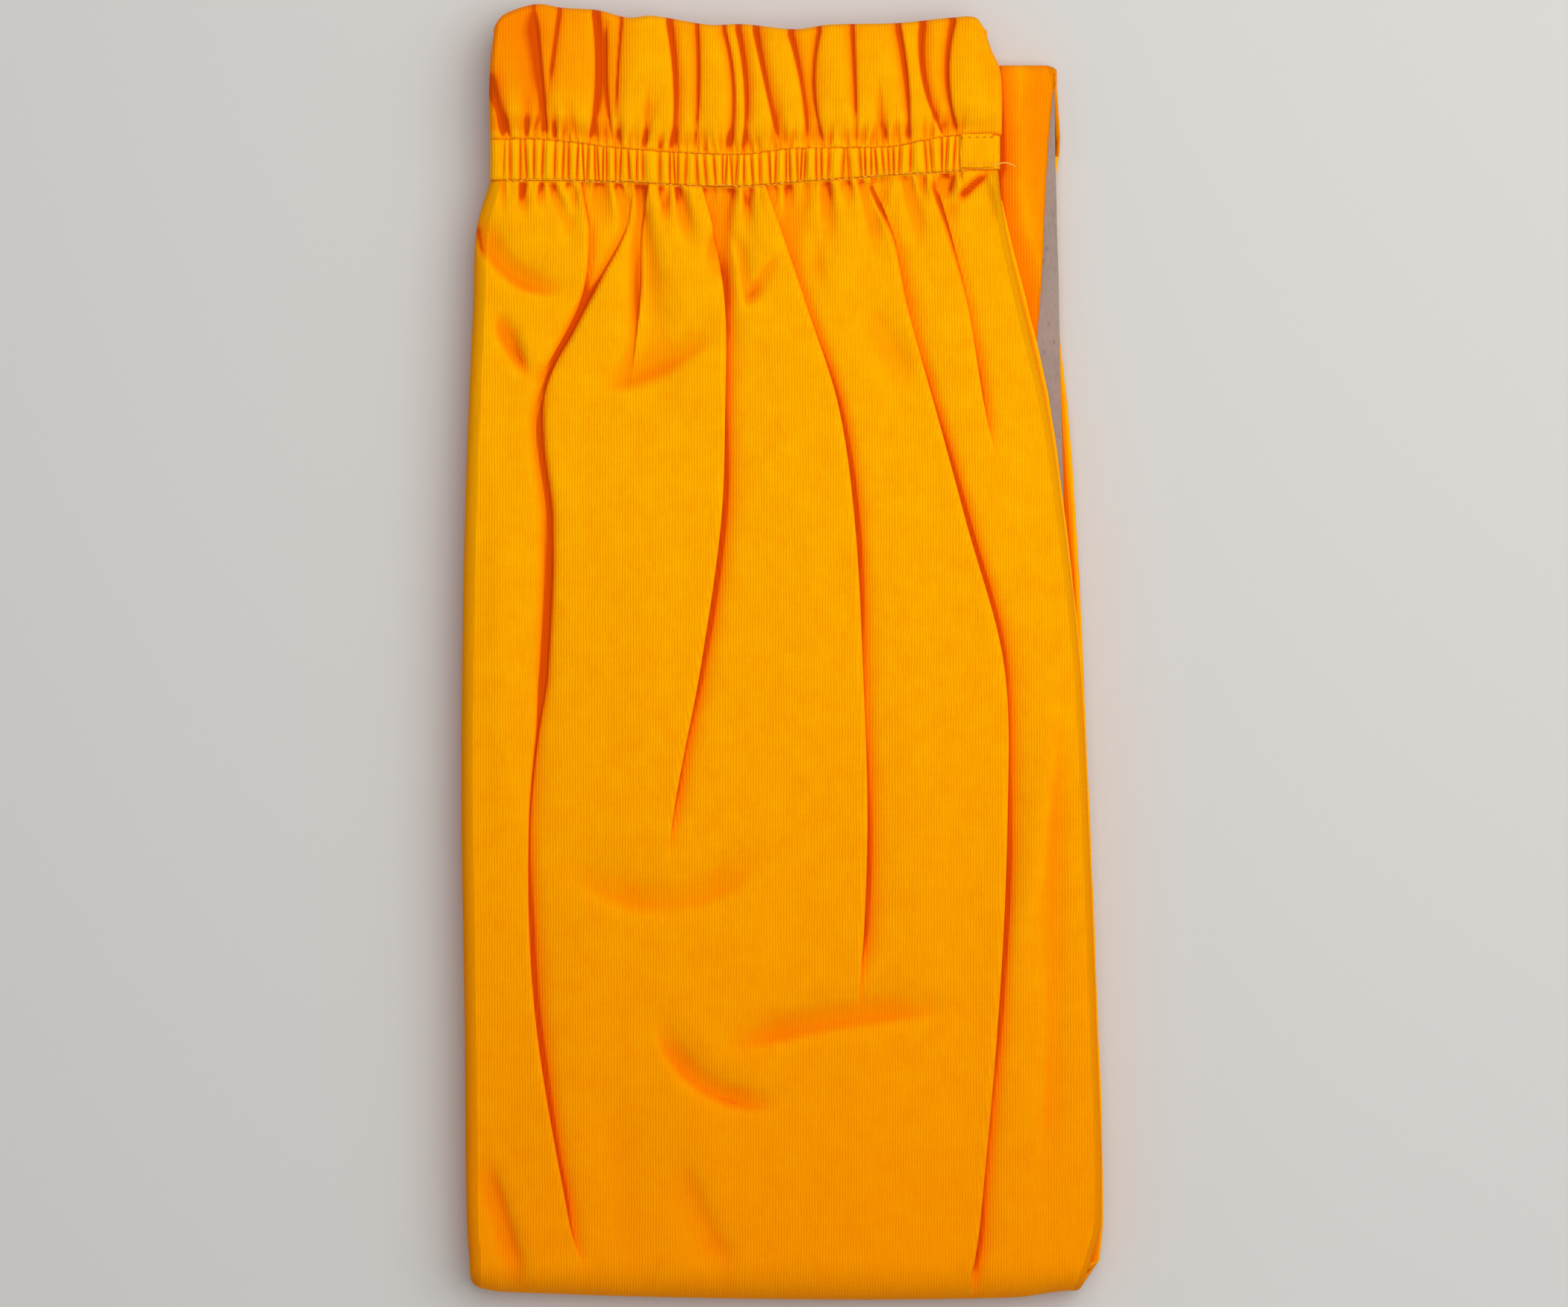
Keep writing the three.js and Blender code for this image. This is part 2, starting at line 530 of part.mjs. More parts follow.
// How far the lower leg shows past the upper one at its right side.
const SHOWN = [
  { y: -213, right: 0.4 },
  { y: 45, right: 0.6 },
  { y: 86, right: 1.6 },
  { y: 120, right: 2.6 },
  { y: 162, right: 0.6 },
];
const shownRight = curve(SHOWN, "y", "right");

// The hidden layers of the lower leg: one solid that follows the upper leg round the board, inside it.
function lowerLeg() {
  const ANKLE_MARGIN = 12; // the floor is raised this far before the ankle end
  const BEND_EASE = 0.5; // extra clearance at the middle of the bottom bend
  const sectionAt = (v) => {
    const { y, left, right, up, out } = legStation(v);
    const share = clamp(v - 1, 0, 1);
    const floor = v <= 1 && y > ANKLE_END_Y - ANKLE_MARGIN ? ANKLE_HIGH + GAP : BOARD_TOP + GAP;
    const ease = BEND_EASE * out;
    const depthTop = lerp(CLOTH + GAP + FOLD_ROOM, CLOTH + GAP, Math.min(share * 1.5, 1)) + ease;
    const depthShelf = lerp(CLOTH + GAP + FOLD_ROOM + 0.6, BACK_ROLL.left * 1.35 + GAP, share);
    const depthEnd = lerp(PACK_HIGH - floor, BOARD.low - GAP, share);
    const shown = v <= 1 ? shownRight(y) : 0;
    const outline = layeredOutline(left + 0.4, right - 0.2 + shown, depthTop, depthShelf, depthEnd);
    return { y, up, out, outline };
  };
  const ringAt = (v) => {
    const { y, up, out, outline } = sectionAt(v);
    return outline.map(([x, depth]) => {
      const reach = BEND_Y - bottomFold(x);
      return new THREE.Vector3(x, y - out * (reach - depth), PACK_HIGH / 2 + up * (PACK_HIGH / 2 - depth));
    });
  };
  const skin = new Skin();
  const front = [0.012, 0.06, 0.12, 0.19, 0.205, 0.28, 0.4, 0.55, 0.7, 0.85, 0.96, 1];
  const bend = steps(6, 1, 2).slice(1);
  const rings = [...front, ...bend, ...UNDER].map((v) => {
    const points = ringAt(v);
    const row = skin.row(points.map((_, i) => i), (i) => points[i]);
    return [...row, { ...row[0], place: points.length }];
  });
  rings.slice(1).forEach((ring, i) => skin.fill(rings[i], ring));
  const cap = (ring, v, flip) => {
    const flatOutline = sectionAt(v).outline.map(([x, depth]) => new THREE.Vector2(x, depth));
    for (const corners of THREE.ShapeUtils.triangulateShape(flatOutline, [])) {
      const face = corners.map((k) => ring[k].index);
      skin.triangles.push(...(flip ? face.reverse() : face));
    }
  };
  cap(rings[0], front[0], false);
  cap(rings.at(-1), UNDER.at(-1), true);
  return skin.geometry();
}

// The elastic casing between its two rows of stitches.
function casingPoint(column, v, inset) {
  const place = column < 0 ? column : column > CASING_GATHERS ? column - CASING_GATHERS + 1 : 0.5;
  const [left, right] = [HEADER_EDGE.left(SEAM_Y), 75.6];
  const roll = { left: WAIST_ROLL, right: WAIST_ROLL };
  const rollPoint = acrossPanel(place, left, right, roll, inset);
  const onFlat = column >= 0 && column <= CASING_GATHERS;
  const x = onFlat ? gatherX(column) : rollPoint.x;
  const foot = casingFoot(x) + GAP / 2;
  const top = casingTop(x) - GAP / 2;
  const swell = Math.sin(Math.PI * lerp(0.12, 0.88, v));
  const relief = CASING_RELIEF * swell * (onFlat ? ruffle(x) : FLAT_SHARE * Math.max(rollPoint.facing, 0));
  const depth = rollPoint.drop + inset * rollPoint.facing;
  return new THREE.Vector3(x, lerp(foot, top, v), CASING_HIGH - depth + (inset ? 0 : relief));
}

function elasticCasing() {
  const PER_GATHER = [0, 0.3, 0.7];
  const gathers = range(CASING_GATHERS).flatMap((k) => PER_GATHER.map((f) => k + f));
  const outer = steps(4).map((v) => ({ v, columns: rolled([...gathers, CASING_GATHERS]) }));
  const inner = steps(1).map((v) => ({ v, columns: rolled(steps(31, 0, CASING_GATHERS)) }));
  return wall(casingPoint, WAIST_CLOTH, outer, inner, true);
}

// The gathered header. Rows past 1 are its rolled upper edge.
function headerPoint(column, v, inset) {
  const share = Math.min(v, 1);
  const roll = { left: WAIST_ROLL, right: WAIST_ROLL };
  const turned = Math.max(v - 1, 0) * ROLL_TURN * TO_RADIANS;
  const middleY = lerp(casingTop(0), headerTop(0), share);
  const [left, right] = [HEADER_EDGE.left(middleY), HEADER_EDGE.right(middleY)];
  const { x, drop, facing } = acrossPanel(column, left, right, roll, inset);
  const foot = casingTop(x) + GAP / 2;
  const flatTop = headerTop(x) - WAIST_ROLL;
  const y = lerp(foot, flatTop, share) + (WAIST_ROLL - inset) * Math.sin(turned);
  const topDrop = WAIST_ROLL * (1 - Math.cos(turned));
  const facingUp = facing * Math.cos(turned);
  const depth = Math.hypot(drop, topDrop) + inset * facingUp;
  const lift = Math.max(facingUp, 0) * headerHeight(x, share);
  return new THREE.Vector3(x, y, CASING_HIGH - depth + lift - sag(y));
}

function waistHeader() {
  const rows = [0, 0.06, 0.15, 0.3, 0.5, 0.72, 0.9, 1, 1.4, 1.75, 2];
  const outer = rows.map((v) => ({ v, columns: rolled(steps(100)) }));
  const inner = [0, 0.3, 0.72, 1, 1.4, 1.75, 2].map((v) => ({ v, columns: rolled(steps(36)) }));
  return wall(headerPoint, WAIST_CLOTH, outer, inner, true);
}

// The waist's hidden layers: one solid, notched between its three layers all round.
function waistLayers() {
  const LAYERS = 3;
  const floor = ANKLE_HIGH + GAP;
  const thick = (WAIST_LAYERS_HIGH - floor) / LAYERS;
  const layerInset = [0.5, 1.1, 3];
  const levels = [{ z: floor, inset: 3 }];
  for (let layer = 0; layer < LAYERS; layer++) {
    levels.push({ z: floor + thick * (layer + 0.35), inset: layerInset[layer] });
    levels.push({ z: floor + thick * (layer + 1), inset: layer + 1 < LAYERS ? layerInset[layer] + 1.4 : 5 });
  }
  const skin = new Skin();
  const sideY = [0, 0.25, 0.5, 0.7, 0.85];
  const rowsAt = ({ z, inset }) => {
    const wave = (x) => 0.35 * Math.sin(0.7 * x + 1.3 * z);
    const pointAt = (place, share) => {
      const y = lerp(SEAM_Y + 4, headerTop(0), share);
      const [left, right] = [HEADER_EDGE.left(y) + inset, HEADER_EDGE.right(y) - inset];
      const x = lerp(left, right, place);
      const foot = Math.max(casingFoot(x), SEAM_Y) + GAP + 0.3 * inset;
      const top = headerTop(x) - inset + wave(x) * smoothstep(share, 0.8, 1);
      const at = lerp(foot, top, share);
      return new THREE.Vector3(x, at, z - sag(at));
    };
    const ends = steps(30);
    const lines = sideY.slice(1).map((share) => ({ share, places: [0, 1] }));
    const all = [{ share: 0, places: steps(6) }, ...lines, { share: 1, places: ends }];
    return all.map(({ share, places }) => skin.row(places, (place) => pointAt(place, share)));
  };
  const grids = levels.map(rowsAt);
  const loop = (rows) => {
    const corners = rows.slice(1, -1);
    const around = [...rows[0], ...corners.map((row) => row[1]), ...rows.at(-1).slice().reverse()];
    around.push(...corners.map((row) => row[0]).reverse(), rows[0][0]);
    return around.map(({ index }, place) => ({ index, place }));
  };
  grids.slice(1).forEach((rows, i) => skin.fill(loop(grids[i]), loop(rows), true));
  const cap = (rows, flip) => rows.slice(1).forEach((row, i) => skin.fill(rows[i], row, flip));
  cap(grids[0], false);
  cap(grids.at(-1), true);
  return skin.geometry();
}

// The patch is made from the casing's own points, moved up.
function joinPatch() {
  const lift = GAP + CASING_RELIEF * FLAT_SHARE;
  const patchPoint = (place, v, inset) => {
    const x = lerp(PATCH.left, PATCH.right, place);
    const y = lerp(casingFoot(x) + 0.8, casingTop(x) + 0.4, v);
    const edge = 0.5 * Math.max(Math.abs(2 * place - 1), Math.abs(2 * v - 1)) ** 6;
    return new THREE.Vector3(x, y, CASING_HIGH + lift + (inset ? 0 : PATCH.thick - edge));
  };
  const grid = [0, 0.08, 0.3, 0.5, 0.7, 0.92, 1];
  const outer = grid.map((v) => ({ v, columns: grid }));
  return wall(patchPoint, PATCH.thick, outer, [{ v: 0, columns: [0, 1] }, { v: 1, columns: [0, 1] }], true);
}

function board() {
  const box = new THREE.BoxGeometry(BOARD.wide, BOARD.long, BOARD.thick);
  box.rotateZ(BOARD.lean * TO_RADIANS);
  return box.translate(BOARD.right - BOARD.wide / 2, BOARD.top - BOARD.long / 2, BOARD.low + BOARD.thick / 2);
}

// ---------- materials and the finished group ----------
const jersey = () => new THREE.MeshStandardMaterial({ color: "#ffa70c", roughness: 0.85, metalness: 0 });
const card = () => new THREE.MeshStandardMaterial({ color: "#a8948c", roughness: 0.95, metalness: 0 });

function piece(name, geometry, material) {
  const mesh = new THREE.Mesh(geometry, material);
  mesh.name = name;
  return mesh;
}

const salwar = new THREE.Group();
salwar.add(piece("upper_leg", upperLeg(), jersey()));
salwar.add(piece("lower_leg", lowerLeg(), jersey()));
salwar.add(piece("elastic_casing", elasticCasing(), jersey()));
salwar.add(piece("waist_header", waistHeader(), jersey()));
salwar.add(piece("waist_layers", waistLayers(), jersey()));
salwar.add(piece("join_patch", joinPatch(), jersey()));
salwar.add(piece("board", board(), card()));

export default salwar;
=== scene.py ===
"""A patiala salwar in orange cotton jersey, folded in half lengthwise and wrapped round a card board.

Sizes are millimetres until a mesh is made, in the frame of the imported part: X across the pack, Y up to the
waist, Z up from the surface it lies on.
"""
import functools
import math
from types import SimpleNamespace

import bpy
import numpy as np
from bpy.props import FloatProperty, FloatVectorProperty, IntProperty, PointerProperty
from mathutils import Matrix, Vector


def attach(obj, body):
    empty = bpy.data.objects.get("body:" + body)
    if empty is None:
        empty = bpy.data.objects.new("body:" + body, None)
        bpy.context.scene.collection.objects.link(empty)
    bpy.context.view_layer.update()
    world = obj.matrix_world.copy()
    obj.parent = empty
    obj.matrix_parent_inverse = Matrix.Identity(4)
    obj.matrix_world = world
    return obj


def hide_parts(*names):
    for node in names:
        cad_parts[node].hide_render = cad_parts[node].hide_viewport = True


bl_info = {
    "name": "Folded patiala salwar",
    "version": (1, 0, 0),
    "blender": (4, 5, 0),
    "location": "View3D > Sidebar > Salwar",
    "description": "Makes a folded patiala salwar, its board and a plain stage round the packed part",
    "category": "Add Mesh",
}

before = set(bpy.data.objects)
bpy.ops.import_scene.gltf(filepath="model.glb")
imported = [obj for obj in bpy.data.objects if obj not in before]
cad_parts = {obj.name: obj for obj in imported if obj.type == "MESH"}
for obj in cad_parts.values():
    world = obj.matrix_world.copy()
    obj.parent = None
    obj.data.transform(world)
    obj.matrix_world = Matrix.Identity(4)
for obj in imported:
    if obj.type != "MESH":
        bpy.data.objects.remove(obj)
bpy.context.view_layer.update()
MM = 0.001
BODY = "root"


# ---------- sizes of the garment ----------
CLOTH = 1.2  # a wall of jersey with the layer that clings to it
WAIST_CLOTH = 1.8  # header and casing are two layers of the same jersey
GAP = 0.3  # clearance between pieces
SEAM_GAP = 0.04  # clearance at a sewn seam, where the stitches pull the pieces together
SEAM_Y = 162  # lowest place of the seam between the casing and the leg
BEND_Y = -213  # where the legs turn round the board's bottom edge
TURN_Y = 198  # where the ankle end turns round the board's top edge
ANKLE_END_Y = 98
PACK_HIGH = 20.4  # top of the flat part of the front
ANKLE_HIGH = 10.8
CROWN = 1.5  # extra height of the front along its middle
FOLD_ROOM = 3.2  # depth kept under the front for its folds
ROLL_TURN = 100  # degrees turned by a rolled edge
ANKLE_ROLL_TURN = 12  # the same for the ankle end, whose edges lie almost flat on the board
FRONT_ROLL = (4.2, 2.6)  # radius at which the front turns down at its left and right side
BACK_ROLL = (3, 3)
WAIST_ROLL = 2.4
CASING_HIGH = 19.6
CASING_RIGHT = 75.6
WAIST_LAYERS_HIGH = 17.1
LEG_LAYERS = 3  # hidden layers of the lower leg
WAIST_LAYER_INSETS = (0.5, 1.1, 2.2)  # how far each hidden layer of the waist stands back, from the lowest up
EDGE_BULGE = 1.5  # how far a layer's rounded edge stands out
HEADER_PUFF = 3.4  # height of the header's lobes above the casing
HEADER_SAG = 0.005  # how fast the waist sinks towards its free end
TURN_REACH = 7.4  # how far the ankle end's turn stands past TURN_Y
PATCH = SimpleNamespace(left=61.8, right=73, thick=0.9)
BOARD = SimpleNamespace(wide=186, long=404, thick=1, low=8.3, right=99.3, top=195, lean=1.3)
LEG_BELOW_BOARD_TOP = BOARD.low + BOARD.thick


def table(names, *rows):
    """Rows of values as objects with named fields."""
    return [SimpleNamespace(**dict(zip(names.split(), row))) for row in rows]


# One row for each section across the front: X of its left side, of its long folds and of its right side.
FRONT = table(
    "y left pouch side hip front middle thigh seat right",
    (162, -102.1, -70.5, -52, -47, -28.6, -6.5, 30, 52, 74.8),
    (145, -107, -67.7, -55.3, -49.3, -24.3, -0.6, 37.4, 57.4, 77),
    (120, -108.1, -71, -69, -50.2, -20.6, 7.8, 42.7, 64, 83),
    (86, -109.7, -88, -84.2, -54, -20.5, 18.8, 52.3, 70, 91.7),
    (45, -111.1, -86, -81.4, -55, -22, 24.6, 63.4, 80, 97.9),
    (-5, -112, -88, -83.3, -56, -29, 27.4, 76.6, 89, 103.5),
    (-60, -112.2, -94, -88.4, -58, -38.6, 29, 77.7, 93, 106.4),
    (-125, -111.2, -92, -86.6, -57, -40.5, 26.8, 74.7, 92, 109),
    (-198, -110.4, -84, -74.6, -54, -40.5, 26, 68.3, 90, 110.9),
    (-213, -109.4, -82, -70, -54, -40.5, 26, 66.3, 88, 107.2),
)
# Depth and reach of each long fold's groove, the heights where it starts and ends, how far its right side
# stands above its left side at those two ends, how far one side hangs over the other, and the half width of
# its open bottom with the heights between which it is open.
FOLDS = table(
    "line depth reach start end lap_top lap_foot over gape gape_low gape_high",
    ("pouch", 2.1, 5, 172, 108, -1, -0.6, 0.5, 0.4, 120, 160),
    ("side", 2.9, 7, 156, -203, 0.7, -0.9, 0.4, 1, -20, 88),
    ("hip", 2.2, 5, 172, 106, 1, 0.6, 0.4, 0.6, 118, 140),
    ("front", 2.1, 8, 175, -60, -1.2, -1, 0.6, 0, 0, 1),
    ("middle", 2, 8, 175, -112, -1.2, -0.7, 0.6, 0, 0, 1),
    ("thigh", 2.1, 8, 175, -222, -1.1, -1.1, 0.6, 0, 0, 1),
    ("seat", 1.9, 6, 175, 80, -0.8, -0.6, 0.5, 0, 0, 1),
)
# Short gathers under the casing: X where each starts and ends, how far it runs down, and its depth.
GATHERS = table(
    "start end run depth",
    (-90.5, -90, 9, 0.5),
    (-84.6, -83, 9, 0.6),
    (-81.4, -76, 13, 0.9),
    (-74.6, -72, 10, 0.8),
    (-64, -62.4, 11, 1.1),
    (-58, -54.6, 13, 1.1),
    (-50.2, -46.5, 42, 1.5),
    (-42.4, -41, 9, 0.8),
    (-36.6, -33.6, 15, 1.1),
    (-18.2, -23, 20, 1.8),
    (-11.4, -13, 12, 0.9),
    (2.1, 3, 20, 1.2),
    (9.2, 7, 10, 0.8),
    (14.6, 15.6, 15, 1.1),
    (22, 22.6, 8, 0.9),
    (26.8, 32, 18, 1.1),
    (42, 46, 15, 1.1),
    (47.4, 49, 9, 0.8),
    (57, 58, 10, 0.9),
)
# Soft dents across the front, and ridges where the depth is below zero: both ends, how far the middle sags to
# the right of the line between them, depth, and half width to the left and to the right of that line.
DENTS = table(
    "x1 y1 x2 y2 sag depth wide_left wide_right",
    (-105, 151, -78.8, 125.6, 6.5, 2.6, 6, 3.4),
    (-106.4, 149, -104.4, 138, 0, 1.2, 1.2, 1.2),
    (-99, 117, -86, 96, 2, 2, 4.4, 2.8),
    (-91, 112, -87, 97, 0, -1.6, 2.4, 2.4),
    (-24.4, 166, -19.6, 121, 0, 2, 3.4, 3.4),
    (-17.2, 146, -12.6, 121.7, -1, 1.6, 3.4, 1.8),
    (-1, 138, -12.2, 121.7, 1, 1.4, 3.6, 2),
    (-14, 122, -9, 108, 0, -0.9, 6, 5),
    (-62, 93, -22.4, 112, 2, 2, 9, 4),
    (-57, 86, -26, 97, 2, -0.8, 5, 8),
    (8, 156, 13, 128, 0, 1.2, 3.4, 4.5),
    (29, 122, 47, 92, 0, 1.5, 5, 9),
    (-100, 60, -97, -60, 0, -0.5, 5, 5),
    (-73.6, -77, -6.2, -72, 12, 1.8, 10, 5),
    (-42, -134, -6.2, -158, 6, 2.4, 6.5, 3.4),
    (-18.2, -137, 54, -124, -2, 2.4, 8, 3.8),
    (-35, -178, -18, -215, 2, 1.6, 4.5, 8),
    (-60, -150, -52, -214, 0, 0.9, 9, 7),
    (-103, -180, -91, -219, 0, 2, 3, 5),
    (92.3, -20, 80.3, -112, -2, -1.6, 4, 6),
    (96, -40, 93, -190, 0, 1.1, 5, 4),
    (50, -60, 46, -190, 0, -0.5, 12, 9),
    (64.5, 168, 57, 156, 0, -2, 1.8, 1.8),
    (70.8, 167, 61.2, 157.6, 0, 1.9, 1.5, 1.7),
    (72.6, 166, 76.4, 152, 0, -1.9, 2, 2),
)
# One row for each section across what lies under the board, then across the ankle end.
BACK = table(
    "y left right",
    (-213, -109.4, 110.8),
    (-198, -109.8, 112.2),
    (-125, -109.4, 110),
    (-46, -108, 106.8),
    (22, -106.6, 104),
    (80, -104.6, 100.2),
    (112, -103.4, 96.8),
    (130, -102.4, 95.4),
    (165, -101, 95.4),
    (177, -100.5, 97),
    (188, -100.2, 96.6),
    (206, -99.4, 95.2),
)
ANKLE = table(
    "y left right",
    (98, -94, 87.8),
    (134, -96, 90.5),
    (160, -97.4, 91.6),
    (180, -98.4, 92.8),
    (206, -99.4, 95.2),
)
HEADER = table(
    "y left right",
    (174, -102.2, 76.2),
    (194, -102.6, 76.2),
    (204, -102.4, 75.4),
    (211, -102, 72.8),
    (220, -100.6, 70.4),
)
# X and Y along the header's upper edge, the casing's two edges and the legs' bottom bend.
HEADER_TOP = [
    (-102.6, 214), (-99.4, 220.4), (-95.5, 223.4), (-86, 226.1), (-77, 224.8), (-65, 224), (-54, 221.3),
    (-46, 222), (-26, 218.8), (-14, 219), (4, 217.2), (16, 218.8), (40, 219.4), (60, 221.4), (67.3, 221.2),
    (70.4, 217),
]
CASING_TOP = [
    (-102, 178.4), (-84, 178.4), (-50, 174.8), (-14, 173.2), (2, 175.2), (38, 176), (56, 179.4), (76, 180),
]
CASING_FOOT = [(-102, 164.4), (-60, 164), (-20, 162.2), (10, 164.2), (60, 167.6), (76, 168.2)]
BOTTOM_FOLD = [(-110, -221.4), (-98, -223.6), (0, -226.2), (80, -225.6), (100, -223.2), (112, -224.6)]
# Folds of the header: X at its upper edge, half way and at its stitched foot, then as for the long folds, but
# with the start and end as a share of the header's height above its foot.
HEADER_FOLDS = table(
    "top half foot depth reach start end lap",
    (-103.5, -101, -96.6, 1, 2.4, 0, 0.6, 0.3),
    (-86.8, -84.4, -82.2, 1.2, 3.4, 0, 0.95, 0.3),
    (-78, -81, -84, 0.8, 3, 0.65, 1.1, -0.2),
    (-65.8, -64.6, -67.6, 2, 3.4, 0, 1.1, -0.7),
    (-61.4, -61.8, -59, 1.2, 2.2, 0, 0.9, 0.3),
    (-56.4, -58, -58.6, 1, 2.4, 0.5, 1.1, 0.2),
    (-46, -47, -48, 0.8, 3, 0, 0.4, 0.2),
    (-40, -37.6, -38.6, 1.8, 3.2, 0, 1.1, -0.6),
    (-29.9, -29.6, -31, 1.4, 2.6, 0.2, 1.1, 0.3),
    (-20.5, -17.2, -19, 1.5, 2.4, 0.2, 1.1, 0.3),
    (-16, -13, -14.2, 1.7, 2.4, 0, 1.1, -0.6),
    (-10, -5.4, -0.6, 1.6, 2.8, 0, 1.1, -0.6),
    (2.4, 7, 8.8, 1.7, 3, 0, 1.1, -0.5),
    (12.6, 10.6, 14.6, 1.4, 2.6, 0, 1.1, 0.3),
    (24.2, 25, 25.6, 1.4, 3, 0, 1.1, 0.3),
    (33, 33.6, 35, 0.7, 3, 0, 0.5, 0.2),
    (40.4, 43.2, 43.6, 1.7, 2.6, 0, 1.1, 0.5),
    (48, 49.2, 56.4, 1.8, 2.8, 0, 1.1, -0.6),
    (59.4, 57.2, 61, 1.6, 3, 0, 1.1, 0.5),
)
# How far the lower leg shows past the upper one at its right side.
SHOWN = [(-213, 0.6), (-150, 1), (-60, 0.9), (45, 0.9), (86, 1.8), (120, 2.8), (150, 2), (162, 0.8)]
# Soft troughs in the cloth under the board: X at the bottom bend and at the board's top edge, depth, half
# width.
BACK_FOLDS = table(
    "foot top depth wide",
    (-78, -70, 0.9, 3),
    (-44, -52, 0.6, 5),
    (-6, 4, 0.9, 3.5),
    (41, 30, 0.7, 4.5),
    (80, 66, 0.9, 3),
)


# ---------- properties ----------
def srgb(code):
    """Linear colour of an sRGB hex value."""
    parts = [int(code[i:i + 2], 16) / 255 for i in (1, 3, 5)]
    return tuple(p / 12.92 if p <= 0.04045 else ((p + 0.055) / 1.055) ** 2.4 for p in parts)


def colour_property(name, description, code):
    return FloatVectorProperty(
        name=name, description=description, subtype="COLOR", size=3, min=0, max=1, default=srgb(code))


def length_property(name, description, millimetres):
    return FloatProperty(
        name=name, description=description, subtype="DISTANCE", unit="LENGTH", default=millimetres * MM)


class SalwarCloth(bpy.types.PropertyGroup):
    colour: colour_property("Colour", "Dyed colour of the jersey", "#f7aa00")
    # The hollow and fold colours are painted shade, mixed in where the crease attribute marks a hollow or the
    # bottom of a fold.
    deep: colour_property("Hollow colour", "Colour in a soft hollow", "#ec7000")
    bottom: colour_property("Fold colour", "Colour at the bottom of a fold", "#c04200")
    # Real jersey of this weight has a stitch every 0.6 mm. The knit is drawn coarser, so that it shows.
    wale: length_property("Wale pitch", "Distance between two columns of knit stitches", 1.0)
    course: length_property("Course pitch", "Distance between two rows of knit stitches", 0.8)
    roughness: FloatProperty(
        name="Roughness", description="Roughness of the jersey", subtype="FACTOR", min=0, max=1, default=0.86)


class SalwarWaist(bpy.types.PropertyGroup):
    gathers: IntProperty(
        name="Gathers", description="Gathers along the elastic casing", default=62, min=10, max=120)
    relief: length_property("Gather height", "Height of a casing gather", 1.8)
    stitch: length_property("Stitch pitch", "Distance between two stitches of a seam", 2.5)
    # Real thread is 0.3 mm thick, and is drawn a little thicker, so that it shows.
    thread: length_property("Thread thickness", "Diameter of the sewing thread", 0.42)
    thread_colour: colour_property("Thread", "Colour of the sewing thread", "#ffb63c")


class SalwarBoard(bpy.types.PropertyGroup):
    colour: colour_property("Colour", "Colour of the grey board", "#98847b")
    grain: length_property("Fibre size", "Length of the pulp fibres in the board", 1.2)


class SalwarStage(bpy.types.PropertyGroup):
    floor: colour_property("Floor", "Colour of the floor", "#cfcecb")
    key: FloatProperty(
        name="Key light", description="Power of the large soft light", unit="POWER", default=19.0)
    sky: FloatProperty(name="Sky", description="Strength of the light from all sides", min=0, default=0.4)


class SalwarSizes(bpy.types.PropertyGroup):
    cloth: PointerProperty(name="Cloth", description="The jersey", type=SalwarCloth)
    waist: PointerProperty(name="Waist", description="The gathered waist", type=SalwarWaist)
    board: PointerProperty(name="Board", description="The board in the pack", type=SalwarBoard)
    stage: PointerProperty(name="Stage", description="Floor and lights", type=SalwarStage)


# ---------- curves ----------
def smoothstep(x, low, high):
    t = np.clip((x - low) / (high - low), 0, 1)
    return t * t * (3 - 2 * t)


def lerp(a, b, t):
    return a + (b - a) * t


def smooth_curve(points):
    """A smooth function through (x, y) points, held level past both ends."""
    xs, ys = (np.array(values, float) for values in zip(*sorted(points)))
    slopes = np.empty_like(ys)
    slopes[1:-1] = (ys[2:] - ys[:-2]) / (xs[2:] - xs[:-2])
    slopes[0] = (ys[1] - ys[0]) / (xs[1] - xs[0])
    slopes[-1] = (ys[-1] - ys[-2]) / (xs[-1] - xs[-2])

    def at(x):
        x = np.clip(x, xs[0], xs[-1])
        k = np.clip(np.searchsorted(xs, x, side="right") - 1, 0, len(xs) - 2)
        span = xs[k + 1] - xs[k]
        rise = ys[k + 1] - ys[k]
        f = (x - xs[k]) / span
        bend = (slopes[k] * span - rise) * (1 - f) - (slopes[k + 1] * span - rise) * f
        return ys[k] + f * rise + f * (1 - f) * bend

    return at


def column_of(rows, name):
    """The smooth function from Y to one column of a table of sections."""
    return smooth_curve([(row.y, getattr(row, name)) for row in rows])


def sides(rows):
    return SimpleNamespace(left=column_of(rows, "left"), right=column_of(rows, "right"))


EDGE = sides(FRONT)
BACK_EDGE = sides(BACK)
ANKLE_EDGE = sides(ANKLE)
HEADER_EDGE = sides(HEADER)
header_top = smooth_curve(HEADER_TOP)
casing_top = smooth_curve(CASING_TOP)
casing_foot = smooth_curve(CASING_FOOT)
bottom_fold = smooth_curve(BOTTOM_FOLD)
shown_right = smooth_curve(SHOWN)
FOLD_LINES = [column_of(FRONT, fold.line) for fold in FOLDS]


def within(at, low, high, fade):
    """1 between two places, fading to 0 over `fade` at both of them."""
    return smoothstep(at, low - fade, low + fade) * (1 - smoothstep(at, high - fade, high + fade))


def wander(x, y, size, seed):
    """A soft uneven field from -1 to 1 whose swells are about `size` across."""
    total = 0
    for i in range(4):
        turn = 2.4 * i + 1.7 * seed
        k = 2 * math.pi / (size * (1.9 - 0.27 * i))
        total = total + np.sin(k * (x * math.cos(turn) + y * math.sin(turn)) + 1.9 * seed + 2.1 * i)
    return total / 4


